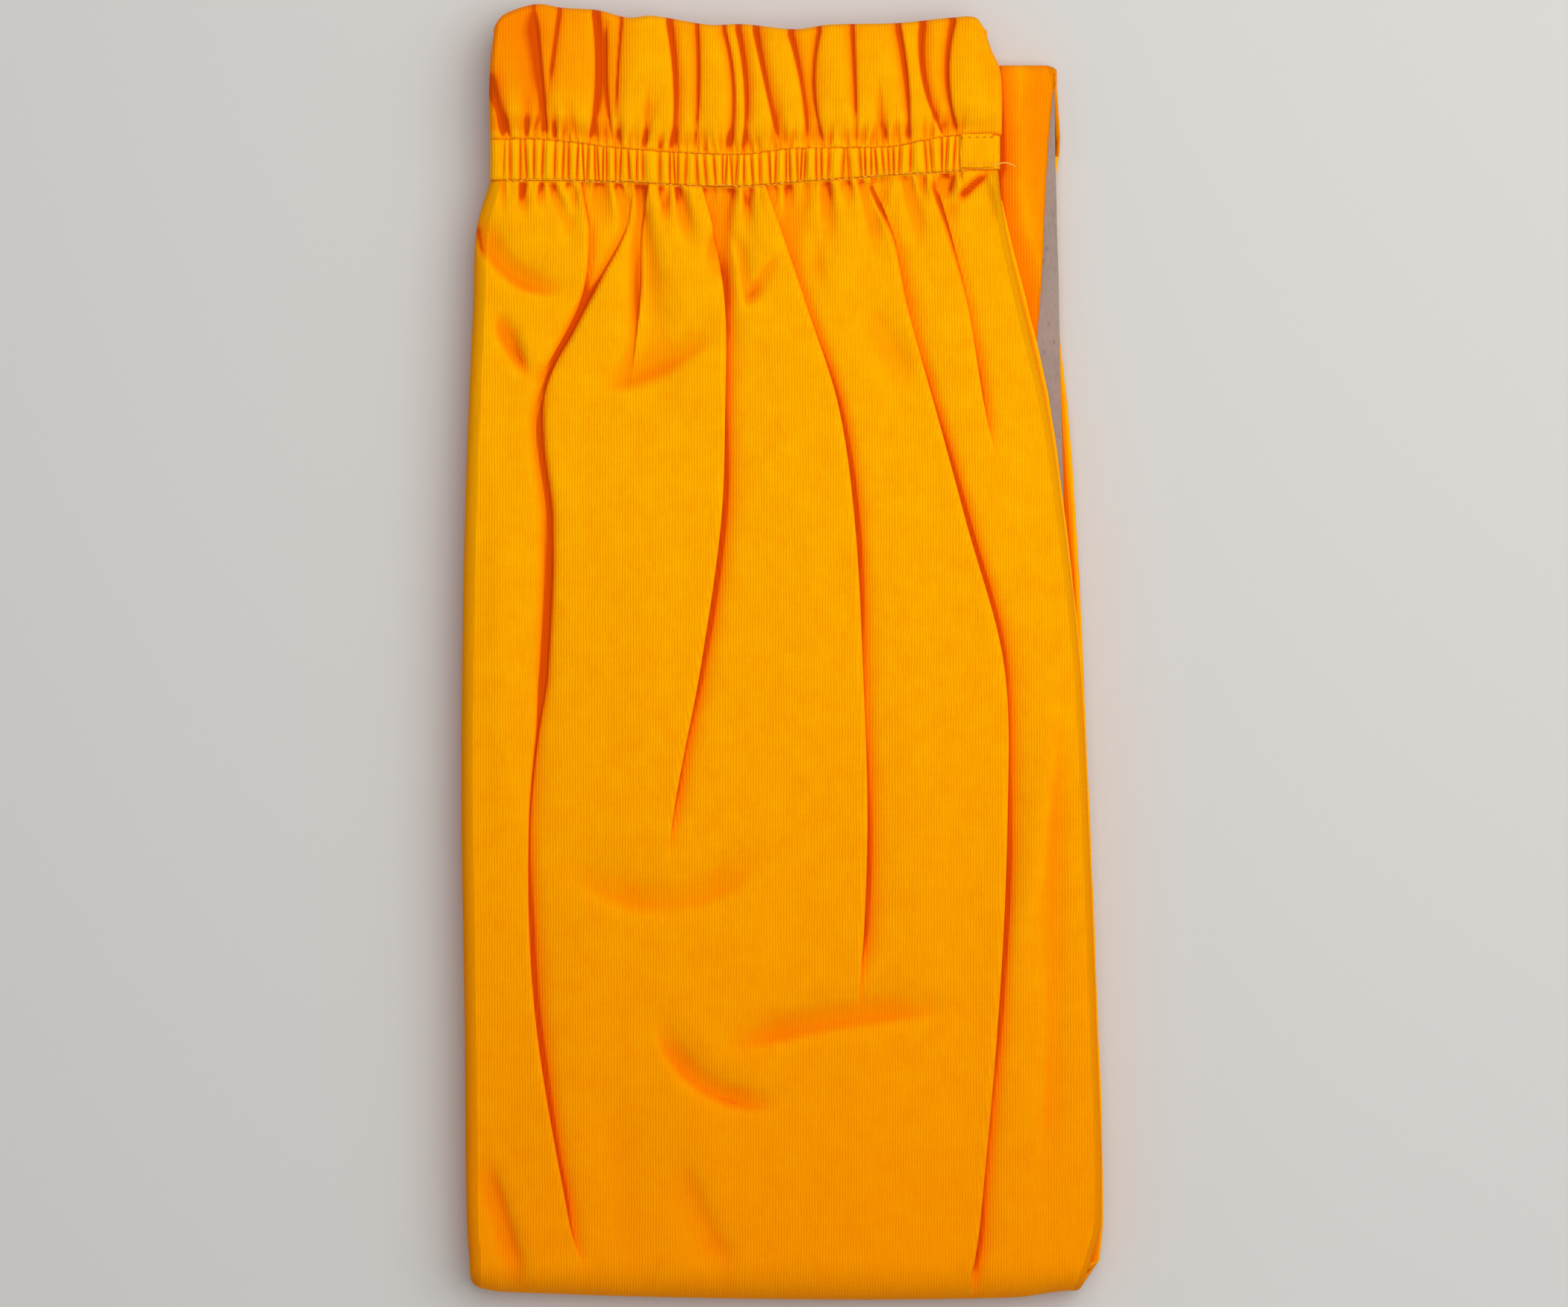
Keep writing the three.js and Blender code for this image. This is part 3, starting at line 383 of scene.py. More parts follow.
# ---------- heights of the cloth ----------
# Ranges that hold the front, and the header with its height above the casing as Y.
FRONT_SPAN = SimpleNamespace(x=(-116, 116), y=(BEND_Y - 4, 170))
HEADER_SPAN = SimpleNamespace(x=(-106, 80), y=(-1, 52))
LAP_EDGE = 0.45  # half width of the strip in which a pleat's high side gives way to its low one
LIP = 1.7  # radius of a fold's rounded edge
FULL_LAP = 0.6  # a lap from which a fold is a knife pleat and no longer a groove
FOLD_ZONE = 1.9  # half width of the strip in which one side of a fold turns under the other
FOLD_FADE = 18  # a long fold fades out this far past its ends, and starts to fade as far before them
BOTTOM_WIDE = 0.65  # half width of the bottom of a fold, which is painted darker: painted shade


def crease_height(away, depth, reach, lap, lap_edge=LAP_EDGE):
    """Height across a fold. Without a lap it is a groove with soft flanks. With one it is a knife pleat: one
    side stays up as far as its rounded edge, and the other comes out from under it and rises slowly."""
    pleated = np.minimum(np.abs(lap) / FULL_LAP, 1)
    away_from = np.abs(away)
    flank = np.exp(-away_from / reach)
    core = np.exp(-away_from / (0.3 * reach))
    lip = 1 - np.sqrt(np.maximum(1 - (1 - np.minimum(away_from / LIP, 1)) ** 2, 0))
    groove = -depth * (0.4 * flank + 0.3 * core + 0.3 * lip)
    low = 0.5 - 0.5 * np.tanh(away * np.sign(lap) / lap_edge)
    high_side = 0.55 * np.abs(lap) * np.exp(-away_from / 6) - 0.5 * depth * lip
    low_side = -(depth + np.abs(lap)) * (0.5 * flank + 0.5 * core)
    return lerp(groove, lerp(high_side, low_side, low), pleated)


def fold_lap(fold, y):
    """How far a long fold's right side stands above its left side."""
    return lerp(fold.lap_foot, fold.lap_top, smoothstep(y, fold.end, fold.start))


def fold_strength(fold, y):
    """1 along a long fold, fading to 0 past its ends."""
    return within(y, fold.end, fold.start, FOLD_FADE)


def from_fold(fold, line, x, y):
    """Distance from the sides of a fold's open bottom, below zero on its left."""
    away = x - line(y)
    gape = fold.gape * within(y, fold.gape_low, fold.gape_high, 12)
    return np.sign(away) * np.maximum(np.abs(away) - gape, 0)


def fold_height(fold, line, x, y):
    away = from_fold(fold, line, x, y)
    uneven = 1 + 0.2 * np.sin(0.047 * y + fold.depth * 9)
    return fold_strength(fold, y) * uneven * crease_height(away, fold.depth, fold.reach, fold_lap(fold, y))


def fold_bottoms(x, y):
    """1 at the bottom of a long fold and 0 away from it: where the painted shade of a fold's bottom goes."""
    return np.max([
        fold_strength(fold, y) * np.exp(-((from_fold(fold, line, x, y) / BOTTOM_WIDE) ** 2))
        for fold, line in zip(FOLDS, FOLD_LINES)], axis=0)


def soft_floor(height, room):
    """A height that never falls by more than its room: the deeper it goes, the less it adds."""
    return np.where(height < 0, room * np.tanh(height / room), height)


def gather_height(gather, x, y):
    """A short hollow that starts at the casing's seam and widens as it fades."""
    down = casing_foot(x) - y
    line = lerp(gather.start, gather.end, np.clip(down / gather.run, 0, 1.2))
    wide = 1.5 + 0.12 * np.maximum(down, 0)
    ends = 1 - smoothstep(down, 0.2 * gather.run, 2.3 * gather.run)
    return -2.5 * gather.depth * np.exp(-(((x - line) / wide) ** 2)) * ends


def dent_height(dent, x, y):
    """A bowed hollow with a flank of its own width on each side."""
    along = math.hypot(dent.x2 - dent.x1, dent.y2 - dent.y1)
    ux, uy = (dent.x2 - dent.x1) / along, (dent.y2 - dent.y1) / along
    t = ((x - dent.x1) * ux + (y - dent.y1) * uy) / along
    across = (y - dent.y1) * ux - (x - dent.x1) * uy + dent.sag * 4 * t * (1 - t)
    ends = smoothstep(t, -0.2, 0.3) * (1 - smoothstep(t, 0.7, 1.2))
    wide = np.where(across > 0, dent.wide_left, dent.wide_right)
    return -dent.depth * ends * np.exp(-((across / wide) ** 2))


GATHERED = SimpleNamespace(left=-97.5, right=61.5)  # the casing is flat past these two places
WIDE_GATHER_SHARE = 0.325  # where the one wide flat gather lies between those two
FLAT_SHARE = 0.6  # height of the casing's flat ends, as a share of a gather's
GATHER_SEED = 11
GATHERS_END = 98  # no gather under the casing runs further down than this


@functools.cache
def valleys(gathers):
    """The valleys between the casing's gathers, unevenly spaced: their X, how far each leans, and the height
    of the gather that follows."""
    chance = np.random.default_rng(GATHER_SEED)
    gaps = 0.4 + chance.gamma(2.2, 0.32, gathers)
    gaps[int(WIDE_GATHER_SHARE * gathers)] = 2.4 * gaps.mean()
    edges = np.insert(np.cumsum(gaps), 0, 0) / gaps.sum()
    tall = chance.uniform(0.65, 1.2, gathers + 1) * np.clip(np.append(gaps, 1) / gaps.mean(), 0.6, 1.1)
    lean = chance.uniform(-0.9, 0.9, gathers + 1)
    x = lerp(GATHERED.left, GATHERED.right, edges)
    return SimpleNamespace(x=x, count=np.arange(gathers + 1), lean=lean, tall=tall)


def ruffle(x, gathers):
    """0 between two gathers and 1 on top of one."""
    at = valleys(gathers)
    smooth = (x <= GATHERED.left) | (x >= GATHERED.right)
    return np.where(smooth, FLAT_SHARE, np.abs(np.sin(math.pi * np.interp(x, at.x, at.count))))


def fine_gathers(x, away, gathers, seed, run):
    """Small gathers that start at the casing's valleys and spread away from it, each over its own length."""
    away = np.maximum(away, 0)
    if np.min(away) > 2.6 * run:
        return 0
    chance = np.random.default_rng(seed)
    starts = valleys(gathers).x
    lengths, depths, leans = (
        chance.uniform(low, high, len(starts)) for low, high in ((0.4, 1.5), (0.4, 1.6), (-0.25, 0.25)))
    wide = 0.72 + 0.1 * away
    height = 0.4 * np.exp(-away / run)
    for start, length, depth, lean in zip(starts, lengths, depths, leans):
        across = (x - start - lean * away) / wide
        height = height - depth * np.exp(-across ** 2 - (away / (length * run)) ** 2)
    return height * smoothstep(away, -0.5, 1.6)


class Surface:
    """A height over X and Y, and how far each place lies in a hollow or on the flank of one: its height
    against the mean height round it, near and further off, and its slope. This sets the cloth's painted
    shade, deeper in hollows and on steep flanks, and its painted highlight on ridges."""

    STEP = 0.4
    MARGIN = 40  # steps of level height added all round, so that a mean near the edge stays true
    # Spread of each mean, and how far below it the bottom of a full hollow lies.
    SCALES = ((0.6, 1.6), (1.6, 2.7), (4, 4.2), (10, 4.5))
    STEEP = 0.6  # weight of the slope in the painted shade

    def __init__(self, height, x_range, y_range):
        self.height = height
        self.start = (x_range[0], y_range[0])
        xs, ys = np.arange(*x_range, self.STEP), np.arange(*y_range, self.STEP)
        field = np.pad(np.stack([height(xs, np.full_like(xs, y)) for y in ys]), self.MARGIN, mode="edge")
        down, across = np.fft.fftfreq(field.shape[0], self.STEP), np.fft.rfftfreq(field.shape[1], self.STEP)
        waves = np.hypot(*np.meshgrid(down, across, indexing="ij"))
        spectrum = np.fft.rfft2(field)
        total = self.STEEP * (np.minimum(np.hypot(*np.gradient(field, self.STEP)), 1.2) - 0.1)
        for spread, depth in self.SCALES:
            blurred = np.fft.irfft2(spectrum * np.exp(-2 * (math.pi * spread * waves) ** 2), s=field.shape)
            total = total + (blurred - field) / depth
        self.hollows = total[self.MARGIN:-self.MARGIN, self.MARGIN:-self.MARGIN]

    def hollow(self, x, y):
        """From -1 on a ridge to 1 deep in a fold."""
        rows, columns = self.hollows.shape
        column = np.clip((x - self.start[0]) / self.STEP, 0, columns - 1.001)
        row = np.clip((y - self.start[1]) / self.STEP, 0, rows - 1.001)
        i, j = np.floor(row).astype(int), np.floor(column).astype(int)
        u, v = column - j, row - i
        h = self.hollows
        value = lerp(lerp(h[i, j], h[i, j + 1], u), lerp(h[i + 1, j], h[i + 1, j + 1], u), v)
        return np.clip(value, -1, 1)


def front_crown(x, y):
    """How far the middle of the front stands above its sides."""
    left, right = EDGE.left(y), EDGE.right(y)
    off = (2 * x - left - right) / (right - left)
    return CROWN * (1 - off * off) * smoothstep(casing_foot(x) - y, 0, 60)


def seam_pinch(away):
    """The narrow dip beside a row of stitches, which pull the cloth in."""
    return -0.3 * np.exp(-np.maximum(away, 0) / 0.8)


def front_height(x, y, gathers):
    """Height of the front above its flat part."""
    down = casing_foot(x) - y
    seam_dip = -0.8 * np.exp(-np.maximum(down, 0) / 5)
    folded = sum(fold_height(fold, line, x, y) for fold, line in zip(FOLDS, FOLD_LINES))
    if np.min(down) < GATHERS_END:
        folded = folded + sum(gather_height(gather, x, y) for gather in GATHERS)
        # The stitches hold the cloth flat at the seam.
        folded = folded * lerp(0.2, 1, smoothstep(down, 0, 1.8))
        folded = folded + fine_gathers(x, down, gathers, seed=5, run=10)
    for dent in DENTS:
        margin = 3 * max(dent.wide_left, dent.wide_right) + 20
        if np.max(y) > min(dent.y1, dent.y2) - margin and np.min(y) < max(dent.y1, dent.y2) + margin:
            folded = folded + dent_height(dent, x, y)
    wide_swell, narrow_swell = wander(x, 0.3 * y, size=40, seed=1), wander(x, 0.4 * y, size=15, seed=2)
    swell = (0.6 * wide_swell + 0.22 * narrow_swell) * smoothstep(down, -2, 8)
    return soft_floor(front_crown(x, y) + seam_dip + folded + swell + seam_pinch(down), FOLD_ROOM)


def front_floor(x, y):
    """Height of the plain inner side of the front: it follows the long folds below the outer side."""
    depth = 2
    for fold, line in zip(FOLDS, FOLD_LINES):
        groove = (fold.depth + np.abs(fold_lap(fold, y))) * np.exp(-np.abs(x - line(y)) / fold.reach)
        depth = depth + fold_strength(fold, y) * groove
    return np.maximum(front_crown(x, y) - depth, -FOLD_ROOM)


def sag(y):
    """How far the waist sinks towards its free end."""
    return HEADER_SAG * np.maximum(y - 200, 0) ** 2


def header_line(fold, share):
    """X of a header fold at a share of the header's height: a smooth bow through its three places."""
    s = np.clip(share, -0.1, 1.1)
    return fold.foot * (1 - s) * (1 - 2 * s) + fold.half * 4 * s * (1 - s) + fold.top * s * (2 * s - 1)


def header_fold_strength(fold, share):
    """1 along a header fold, fading to 0 past its ends."""
    return within(share, fold.start - 0.2, fold.end, 0.15)


def header_puff(up):
    """Height of the header's lobes at a distance above its stitched foot."""
    return HEADER_PUFF * smoothstep(up, -3, 11)


def header_height(x, share, gathers):
    """Height of the header above the casing."""
    up = share * (header_top(x) - casing_top(x))
    folded = 0
    for fold in HEADER_FOLDS:
        away = x - header_line(fold, share)
        lobes = -0.7 * fold.depth * np.exp(-np.abs(away) / 5)
        crease = crease_height(away, 1.1 * fold.depth, 1.2 * fold.reach, fold.lap, lap_edge=2 * LAP_EDGE)
        folded = folded + header_fold_strength(fold, share) * (lobes + crease)
    # The stitches hold the cloth flat at the seam.
    folded = folded * lerp(0.2, 1, smoothstep(up, 0, 4)) + fine_gathers(x, up, gathers, seed=8, run=11)
    swell = 0.35 * wander(x, 0.4 * up, size=13, seed=3) * smoothstep(up, 0, 15)
    puff = header_puff(up)
    return puff + soft_floor(folded + swell + seam_pinch(up), puff + 0.9)


def header_bottoms(x, share):
    """1 at the bottom of a deep header fold and 0 away from it: where the painted shade of a fold's bottom
    goes.
    """
    return np.max([
        min(fold.depth / 1.6, 1) * header_fold_strength(fold, share)
        * np.exp(-(((x - header_line(fold, share)) / BOTTOM_WIDE) ** 2))
        for fold in HEADER_FOLDS], axis=0)


# ---------- panels with rolled edges ----------
def across_panel(place, left, right, roll, inset, turn=ROLL_TURN):
    """Where a place across a panel lies: -1 to 0 on its rolled left edge, 0 to 1 on its flat, 1 to 2 on its
    rolled right edge. Gives X, how far the face lies below the panel's top, and how far it faces up."""
    radius = np.where(place < 0, roll[0], roll[1])
    turned = np.radians(np.maximum(np.maximum(-place, place - 1), 0) * turn)
    swing = (radius - inset) * np.sin(turned) * np.where(place < 0, -1, 1)
    stand = math.sin(math.radians(min(turn, 90)))
    x = lerp(left + stand * roll[0], right - stand * roll[1], np.clip(place, 0, 1)) + swing
    return x, radius * (1 - np.cos(turned)), np.cos(turned)


def leg_station(v):
    """Place on the way round the board: v is 0 to 1 on the front, 1 to 2 on the bottom bend, 2 to 3 under the
    board, 3 to 4 on the turn over its top edge and 4 to 5 on the ankle end."""
    angle = math.pi * (min(max(v - 1, 0), 1) if v < 3 else 1 - min(max(v - 3, 0), 1))
    up, out = math.cos(angle), math.sin(angle)

    def station(y, left, right, roll, even):
        return SimpleNamespace(y=y, left=left, right=right, roll=roll, even=even, up=up, out=out)

    if v <= 1:
        y = lerp(SEAM_Y, BEND_Y, v)
        return station(y, EDGE.left(y), EDGE.right(y), FRONT_ROLL, 0)
    if v <= 2:
        share = v - 1
        corner_tuck = 4.5 * out
        left = lerp(EDGE.left(BEND_Y), BACK_EDGE.left(BEND_Y), share)
        right = lerp(EDGE.right(BEND_Y), BACK_EDGE.right(BEND_Y), share) - corner_tuck
        roll = tuple(lerp(a, b, share) for a, b in zip(FRONT_ROLL, BACK_ROLL))
        return station(BEND_Y, left, right, roll, 0.5 * share)
    edge = BACK_EDGE if v < 3.5 else ANKLE_EDGE
    y = lerp(BEND_Y, TURN_Y, v - 2) if v <= 3 else lerp(TURN_Y, ANKLE_END_Y, max(v - 4, 0))
    return station(y, edge.left(y), edge.right(y), BACK_ROLL, min(0.5 + 1.5 * (v - 2), 1))


PANELS = len(FOLDS) + 1
ZONE_SHARE = 0.1  # share of a panel's columns that lies in the strip of a fold at each of its sides


def fold_zones(station):
    """X of the panel lines of a section, and the half width of the strip round each."""
    flat_left, flat_right = station.left + station.roll[0], station.right - station.roll[1]
    inner = [np.clip(line(station.y), flat_left + 2, flat_right - 2) for line in FOLD_LINES]
    lines = np.array([flat_left, *inner, flat_right])
    room = np.diff(lines)
    beside = np.minimum(np.append(room, room[-1]), np.insert(room, 0, room[0]))
    return lines, np.minimum(FOLD_ZONE, 0.3 * beside)


def column_share(columns, station):
    """Share of the width at a column of the leg: the whole numbers from 1 up are its long folds."""
    lines, zones = fold_zones(station)
    k = np.clip(np.floor(columns).astype(int), 0, PANELS - 1)
    f = columns - k
    start, end = lines[k] + zones[k], lines[k + 1] - zones[k + 1]
    x = lerp(start, end, (f - ZONE_SHARE) / (1 - 2 * ZONE_SHARE))
    x = np.where(f < ZONE_SHARE, lines[k] + zones[k] * f / ZONE_SHARE, x)
    x = np.where(f > 1 - ZONE_SHARE, lines[k + 1] - zones[k + 1] * (1 - f) / ZONE_SHARE, x)
    share = (x - lines[0]) / (lines[-1] - lines[0])
    return lerp(share, columns / PANELS, station.even)


def fold_overhang(x, y, station):
    """How far X shifts inside the strip of each long fold, where the upper side hangs over the lower one."""
    lines, zones = fold_zones(station)
    shift = np.zeros_like(x)
    for fold, line, zone in zip(FOLDS, lines[1:], zones[1:]):
        lapped = np.minimum(np.abs(fold_lap(fold, y)) / FULL_LAP, 1)
        amount = zone * fold.over * fold_strength(fold, y) * lapped
        away = (x - line) / zone
        shift -= np.where(np.abs(away) < 1, amount * np.sin(math.pi * away), 0)
    return shift


def back_height(x, y):
    """Soft troughs of the cloth under the board."""
    share = (y - BEND_Y) / (TURN_Y - BEND_Y)
    height = 0
    for fold in BACK_FOLDS:
        line = lerp(fold.foot, fold.top, share) + 3 * np.sin(5 * share + fold.foot)
        height = height - fold.depth * np.exp(-(((x - line) / fold.wide) ** 2))
    return height * within(share, 0.02, 0.98, 0.1)


def front_surface(x, y, inset, surface):
    """Height and painted shade of the outer or the inner side of the front. The painted shade is the
    hollowness, and at least the darkest shade at the bottom of a long fold; the inner side has none.
    """
    if inset:
        return front_floor(x, y), np.zeros_like(x)
    return surface.height(x, y), np.maximum(surface.hollow(x, y), fold_bottoms(x, y))


# Flat coordinates of the leg's cloth on its way round the board, as Y carried on past the bottom bend.
BEND_WAY = 32  # length of the cloth round the bottom bend
UNDER_START = BEND_Y - BEND_WAY
TURN_START = -660
TURN_WAY = 17  # length of the cloth round the turn at the board's top edge


def ankle_relief(x, y):
    """Height and painted shade of the ankle end: painted shade beside the waist and the front, which stand
    above it and keep light from it, a painted highlight on its soft ridge, and an uneven mottle."""
    beside = x - np.where(y > SEAM_Y + 6, HEADER_EDGE.right(y), EDGE.right(y))
    free = smoothstep(beside, 0, 5) * np.exp(-(((beside - 8 - 2 * np.sin(0.06 * y)) / 3.4) ** 2))
    mottled = 0.2 * wander(x, 0.2 * y, size=9, seed=6)
    shade = 0.85 * np.exp(-np.maximum(beside, 0) / 4) + mottled + 0.25 - 0.5 * free
    return 0.35 * wander(x, 0.3 * y, size=20, seed=4) + 1.3 * free, shade


def leg_row(columns, v, inset, surface):
    """Points, flat cloth coordinates and painted shade of a row of the upper leg's wall. Columns below 0 and
    above PANELS are its rolled edges."""
    station = leg_station(v)
    past = np.where(columns < 0, columns, np.maximum(columns - PANELS, 0))
    share = column_share(np.clip(columns, 0, PANELS), station)
    place = np.where(past == 0, share, np.where(past > 0, 1 + past, past))
    turn = lerp(ROLL_TURN, ANKLE_ROLL_TURN, min(max(v - 3, 0), 1))
    x, drop, facing = across_panel(place, station.left, station.right, station.roll, inset, turn)
    depth = drop + inset * facing
    facing_up = np.maximum(facing, 0)
    flat_x = lerp(station.left, station.right, place)
    if v <= 1:
        y = station.y + (casing_foot(x) - SEAM_GAP - SEAM_Y) * (1 - smoothstep(v, 0, 0.2))
        height, crease = front_surface(x, y, inset, surface)
        # Painted shade on the rolled edges, growing as each turns down, most on the right edge.
        edge_shade = np.where(past > 0, np.maximum(0.35 * past, 3 * past - 2.3), -0.3 * past)
        over = fold_overhang(x, y, station) if inset == 0 else 0
        points = np.stack([x + over, y, PACK_HIGH - depth + facing_up * height], 1)
        return points, np.stack([flat_x, y], 1), np.maximum(crease, edge_shade)
    if v < 2.5:
        fading = min(max((v - 1) * 2.5, 0), 1)
        height, crease = front_surface(x, np.full_like(x, station.y), inset, surface)
        under = -back_height(x, station.y) * min(max(v - 2, 0) * 5, 1)
        lift = facing_up * (height * (1 - fading) - under)
        radius = BEND_Y - bottom_fold(x) - depth + lift
        z = PACK_HIGH / 2 + station.up * (PACK_HIGH / 2 - depth + lift)
        points = np.stack([x, station.y - station.out * radius, z], 1)
        along = BEND_Y - (v - 1) * BEND_WAY if v < 2 else UNDER_START - (v - 2) * (TURN_Y - BEND_Y)
        return points, np.stack([flat_x, np.full_like(x, along)], 1), crease * (1 - fading)
    lift = back_height(x, station.y) * min(max(3 - v, 0) * 5, 1) * facing_up
    y = station.y + station.out * (TURN_REACH - depth)
    z = ANKLE_HIGH / 2 + station.up * (ANKLE_HIGH / 2 - depth + lift)
    shade = 0
    if v > 3.5:
        ripple, shade = ankle_relief(x, y)
        z = z + ripple * facing_up * smoothstep(v, 4, 4.2)
    along = UNDER_START - (v - 2) * (TURN_Y - BEND_Y) if v < 3 else TURN_START - (v - 3) * TURN_WAY
    along = along if v < 4 else TURN_START - TURN_WAY - (v - 4) * (TURN_Y - ANKLE_END_Y)
    return np.stack([x, y, z], 1), np.stack([flat_x, np.full_like(x, along)], 1), shade + np.zeros_like(x)


# ---------- closed walls ----------
class Shell:
    """A closed mesh made row by row."""

    def __init__(self):
        self.points = []
        self.flat = []
        self.crease = []
        self.faces = []
        self.count = 0

    def row(self, places, made):
        """Adds a row of points, each with its place along the row."""
        points, flat, crease = made
        self.points.append(points)
        self.flat.append(flat)
        self.crease.append(np.broadcast_to(crease, len(points)))
        index = np.arange(self.count, self.count + len(points))
        self.count += len(points)
        return SimpleNamespace(places=np.asarray(places, float), index=index)

    def ring(self, made):
        """Adds a row whose end meets its start."""
        row = self.row(np.arange(len(made[0])), made)
        places = np.append(row.places, len(row.places))
        return SimpleNamespace(places=places, index=np.append(row.index, row.index[0]))

    def fill(self, a, b, flip=False):
        """Fills the strip between two rows that may have different numbers of points."""
        if len(a.places) == len(b.places):
            faces = np.stack([a.index[:-1], b.index[:-1], b.index[1:], a.index[1:]], 1)
            self.faces += (faces[:, ::-1] if flip else faces).tolist()
            return
        i = j = 0
        last_a, last_b = len(a.places) - 1, len(b.places) - 1
        while i < last_a or j < last_b:
            step_a = j == last_b or (i < last_a and a.places[i + 1] <= b.places[j + 1])
            third = a.index[i + 1] if step_a else b.index[j + 1]
            face = [int(a.index[i]), int(b.index[j]), int(third)]
            self.faces.append(face[::-1] if flip else face)
            i, j = (i + 1, j) if step_a else (i, j + 1)

    def tube(self, rings, flip=False):
        """Fills the strips between rings, and the first and the last ring."""
        for a, b in zip(rings, rings[1:]):
            self.fill(a, b, flip)
        for ring, turned in ((rings[0], flip), (rings[-1], not flip)):
            face = ring.index[:-1].tolist()
            self.faces.append(face[::-1] if turned else face)

    def object(self, name, material, sharp=100):
        """The mesh object, in metres. Its UV map holds the flat cloth coordinates, and the crease attribute
        the
        painted shade: above zero in a fold, a hollow or a shaded edge, below zero for a painted highlight."""
        mesh = bpy.data.meshes.new(name)
        mesh.from_pydata((np.concatenate(self.points) * MM).tolist(), [], self.faces)
        loops = np.empty(len(mesh.loops), np.int32)
        mesh.loops.foreach_get("vertex_index", loops)
        flat = np.concatenate(self.flat) * MM
        mesh.uv_layers.new(name="cloth").data.foreach_set("uv", flat[loops].astype(np.float32).ravel())
        crease = mesh.attributes.new("crease", "FLOAT", "POINT")
        crease.data.foreach_set("value", np.concatenate(self.crease).astype(np.float32))
        mesh.validate()
        mesh.shade_smooth()
        mesh.set_sharp_from_angle(angle=math.radians(sharp))
        mesh.materials.append(material)
        piece = bpy.data.objects.new(name, mesh)
        bpy.context.scene.collection.objects.link(piece)
        return piece


def wall(row_at, outer, inner, thickness, upward=False):
    """A closed wall between an outer and an inner sheet. Each sheet is a list of (v, columns), which run down
    the pack, or up it where `upward` is true."""
    shell = Shell()
    face = [shell.row(columns, row_at(columns, v, 0)) for v, columns in outer]
    back = [shell.row(columns, row_at(columns, v, thickness)) for v, columns in inner]
    for a, b in zip(face, face[1:]):
        shell.fill(a, b, upward)
    for a, b in zip(back, back[1:]):
        shell.fill(a, b, not upward)
    shell.fill(face[0], back[0], not upward)
    shell.fill(face[-1], back[-1], upward)
    for end, flip in ((0, upward), (-1, not upward)):
        border = []
        for rows, made in ((outer, face), (inner, back)):
            places = np.array([v for v, _ in rows])
            border.append(SimpleNamespace(places=places, index=np.array([row.index[end] for row in made])))
        shell.fill(*border, flip)
    return shell


def rolled(flat, steps=3):
    """Columns of a panel with the places of its rolled edges on both sides."""
    edge = np.arange(1, steps + 1) / steps
    return np.concatenate([-edge[::-1], flat, flat[-1] + edge])


def steps(count, start=0.0, end=1.0):
    return np.linspace(start, end, count + 1)


def stretches(*parts):
    """Places along stretches that follow each other, each given by its number of steps, start and end."""
    return np.concatenate([steps(*parts[0])[:1], *(steps(*part)[1:] for part in parts)])


# ---------- materials ----------
MIX_A, MIX_B = 6, 7  # the two colour inputs of a mix node


def add_node(tree, kind, inputs=None, **settings):
    """Adds a node and sets its properties and inputs. An input is a value, an output of another node, or
    another node, which then gives its first output in use."""
    node = tree.nodes.new(kind)
    for name, value in settings.items():
        setattr(node, name, value)
    for name, value in (inputs or {}).items():
        socket = node.inputs[name]
        if isinstance(value, bpy.types.Node):
            value = next(output for output in value.outputs if output.enabled)
        if isinstance(value, bpy.types.NodeSocket):
            tree.links.new(value, socket)
        else:
            socket.default_value = (*value, 1) if socket.type == "RGBA" else value
    return node


def new_material(name):
    """An empty material, and a function that adds a node to it."""
    material = bpy.data.materials.new(name)
    material.use_nodes = True
    material.node_tree.nodes.clear()
    return material, functools.partial(add_node, material.node_tree)


def scaled(colour, *factors):
    """A colour with its parts multiplied by one factor each, or all by the same one."""
    factors = factors if len(factors) > 1 else 3 * factors
    return tuple(min(part * factor, 1) for part, factor in zip(colour, factors))


def tinted(add, colour, tint, field, low, high, most, least=0):
    """A colour mixed with a tint, whose share goes from least to most as a field goes from low to high."""
    share = add("ShaderNodeMapRange", {
        "Value": field, "From Min": low, "From Max": high, "To Min": least, "To Max": most})
    return add("ShaderNodeMix", {"Factor": share, MIX_A: colour, MIX_B: tint}, data_type="RGBA")


